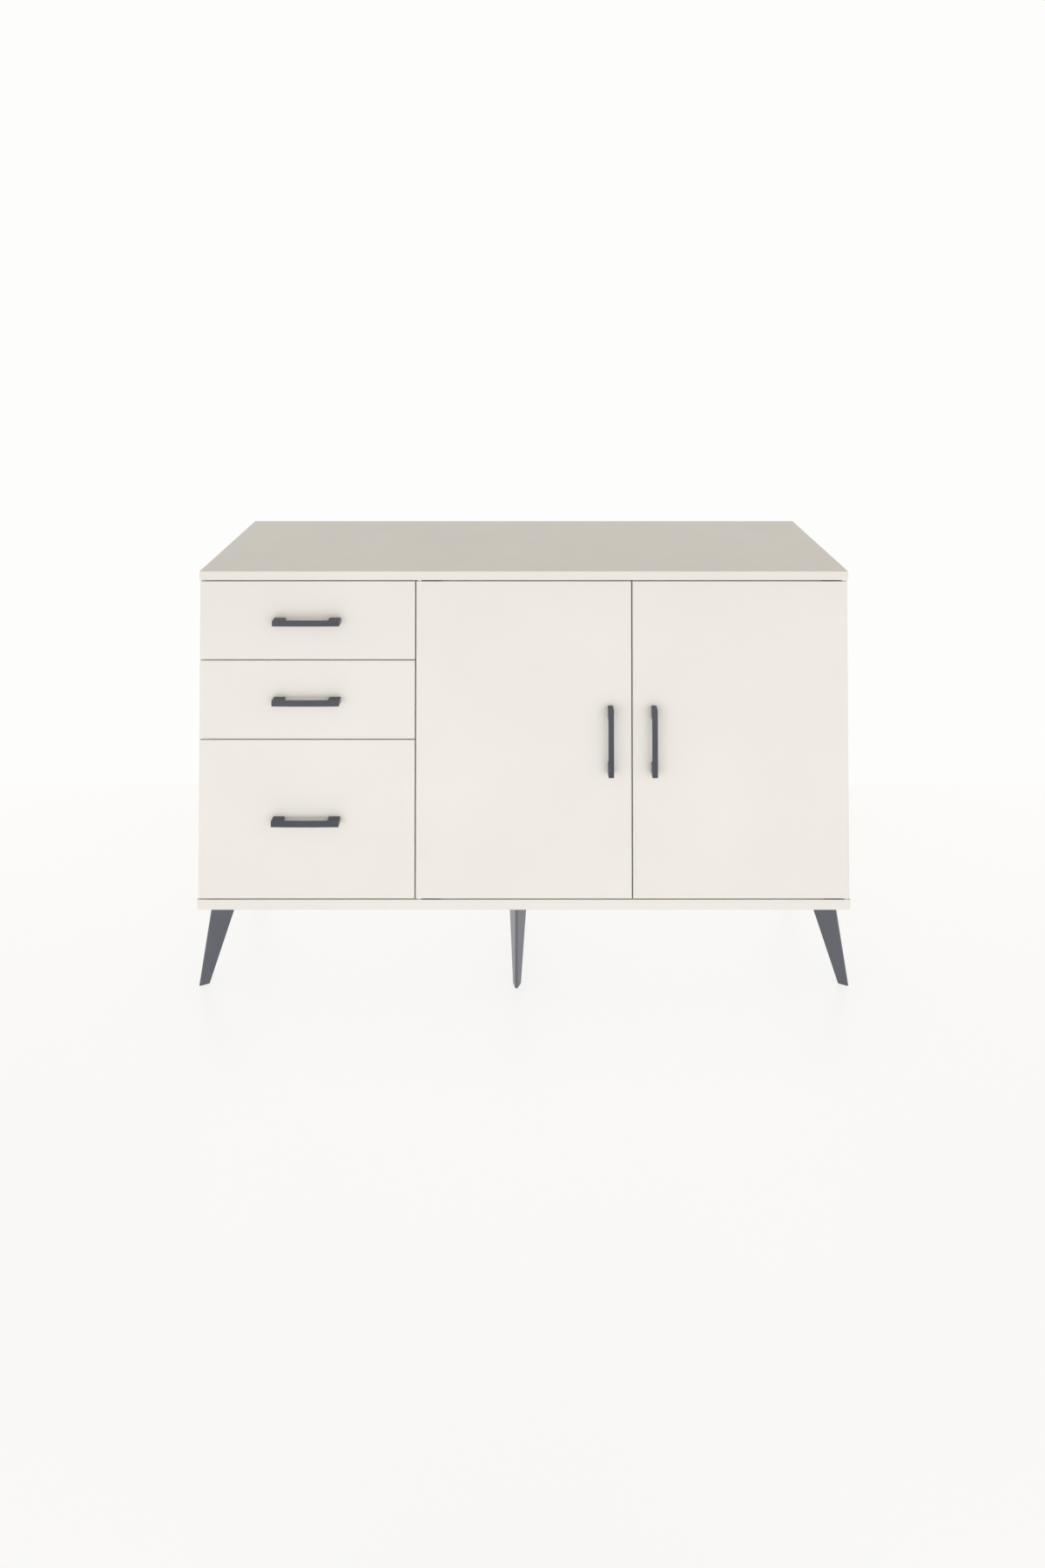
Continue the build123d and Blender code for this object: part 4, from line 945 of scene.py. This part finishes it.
WORLD_LIGHT = 0.98
bg_light.inputs["Strength"].default_value = WORLD_LIGHT
bg_seen.inputs["Color"].default_value = (0.985, 0.988, 0.975, 1)
bg_seen.inputs["Strength"].default_value = 1.0
wt.links.new(lp.outputs["Is Camera Ray"], mixer.inputs["Fac"])
wt.links.new(bg_light.outputs[0], mixer.inputs[1])
wt.links.new(bg_seen.outputs[0], mixer.inputs[2])
wt.links.new(mixer.outputs[0], w_out.inputs["Surface"])


def area(name, place, target, size, power, colour=(1, 1, 1)):
    l = bpy.data.lights.new(name, "AREA")
    l.shape = "RECTANGLE"
    l.size, l.size_y = size
    l.energy = power
    l.color = colour
    o = bpy.data.objects.new(name, l)
    o.location = place
    o.rotation_euler = (Vector(target) - Vector(place)).to_track_quat("-Z", "Y").to_euler()
    scene.collection.objects.link(o)
    return o


LOW_POWER = 0.84
FILL_POWER = 3.4
for side in (-1.0, 1.0):
    tag = "left" if side < 0 else "right"
    low = area("low_softbox_" + tag, (side * 1.9, -3.5, 0.22), (side * 0.35, 0.0, 0.02), (2.6, 0.5), LOW_POWER, (0.95, 0.98, 1.06))
    low.data.spread = math.radians(34.0)
    fill = area("floor_fill_" + tag, (side * 0.68, -1.05, 0.012), (side * 0.64, -0.75, 0.40), (1.0, 1.1), FILL_POWER)
    fill.visible_camera = False

# ------------------------------------------------------------------ camera
cam = bpy.data.cameras.new("camera")
cam.sensor_fit = "AUTO"
cam.sensor_width = 36.0
cam.lens = 1195.23 / 1800.0 * 36.0
cam.shift_x = -0.00084
cam.shift_y = -0.33690
cam.clip_start = 0.05
cam.clip_end = 60.0
cam_o = bpy.data.objects.new("camera", cam)
cam_o.location = (0.0, Y_FRONT - 1.9376, 1.30776)
cam_o.rotation_euler = (math.radians(90.0 + 1.2751), 0.0, 0.0)
scene.collection.objects.link(cam_o)
scene.camera = cam_o

scene.view_settings.view_transform = "Standard"
scene.view_settings.look = "None"
scene.view_settings.exposure = 0.0
scene.view_settings.gamma = 1.0
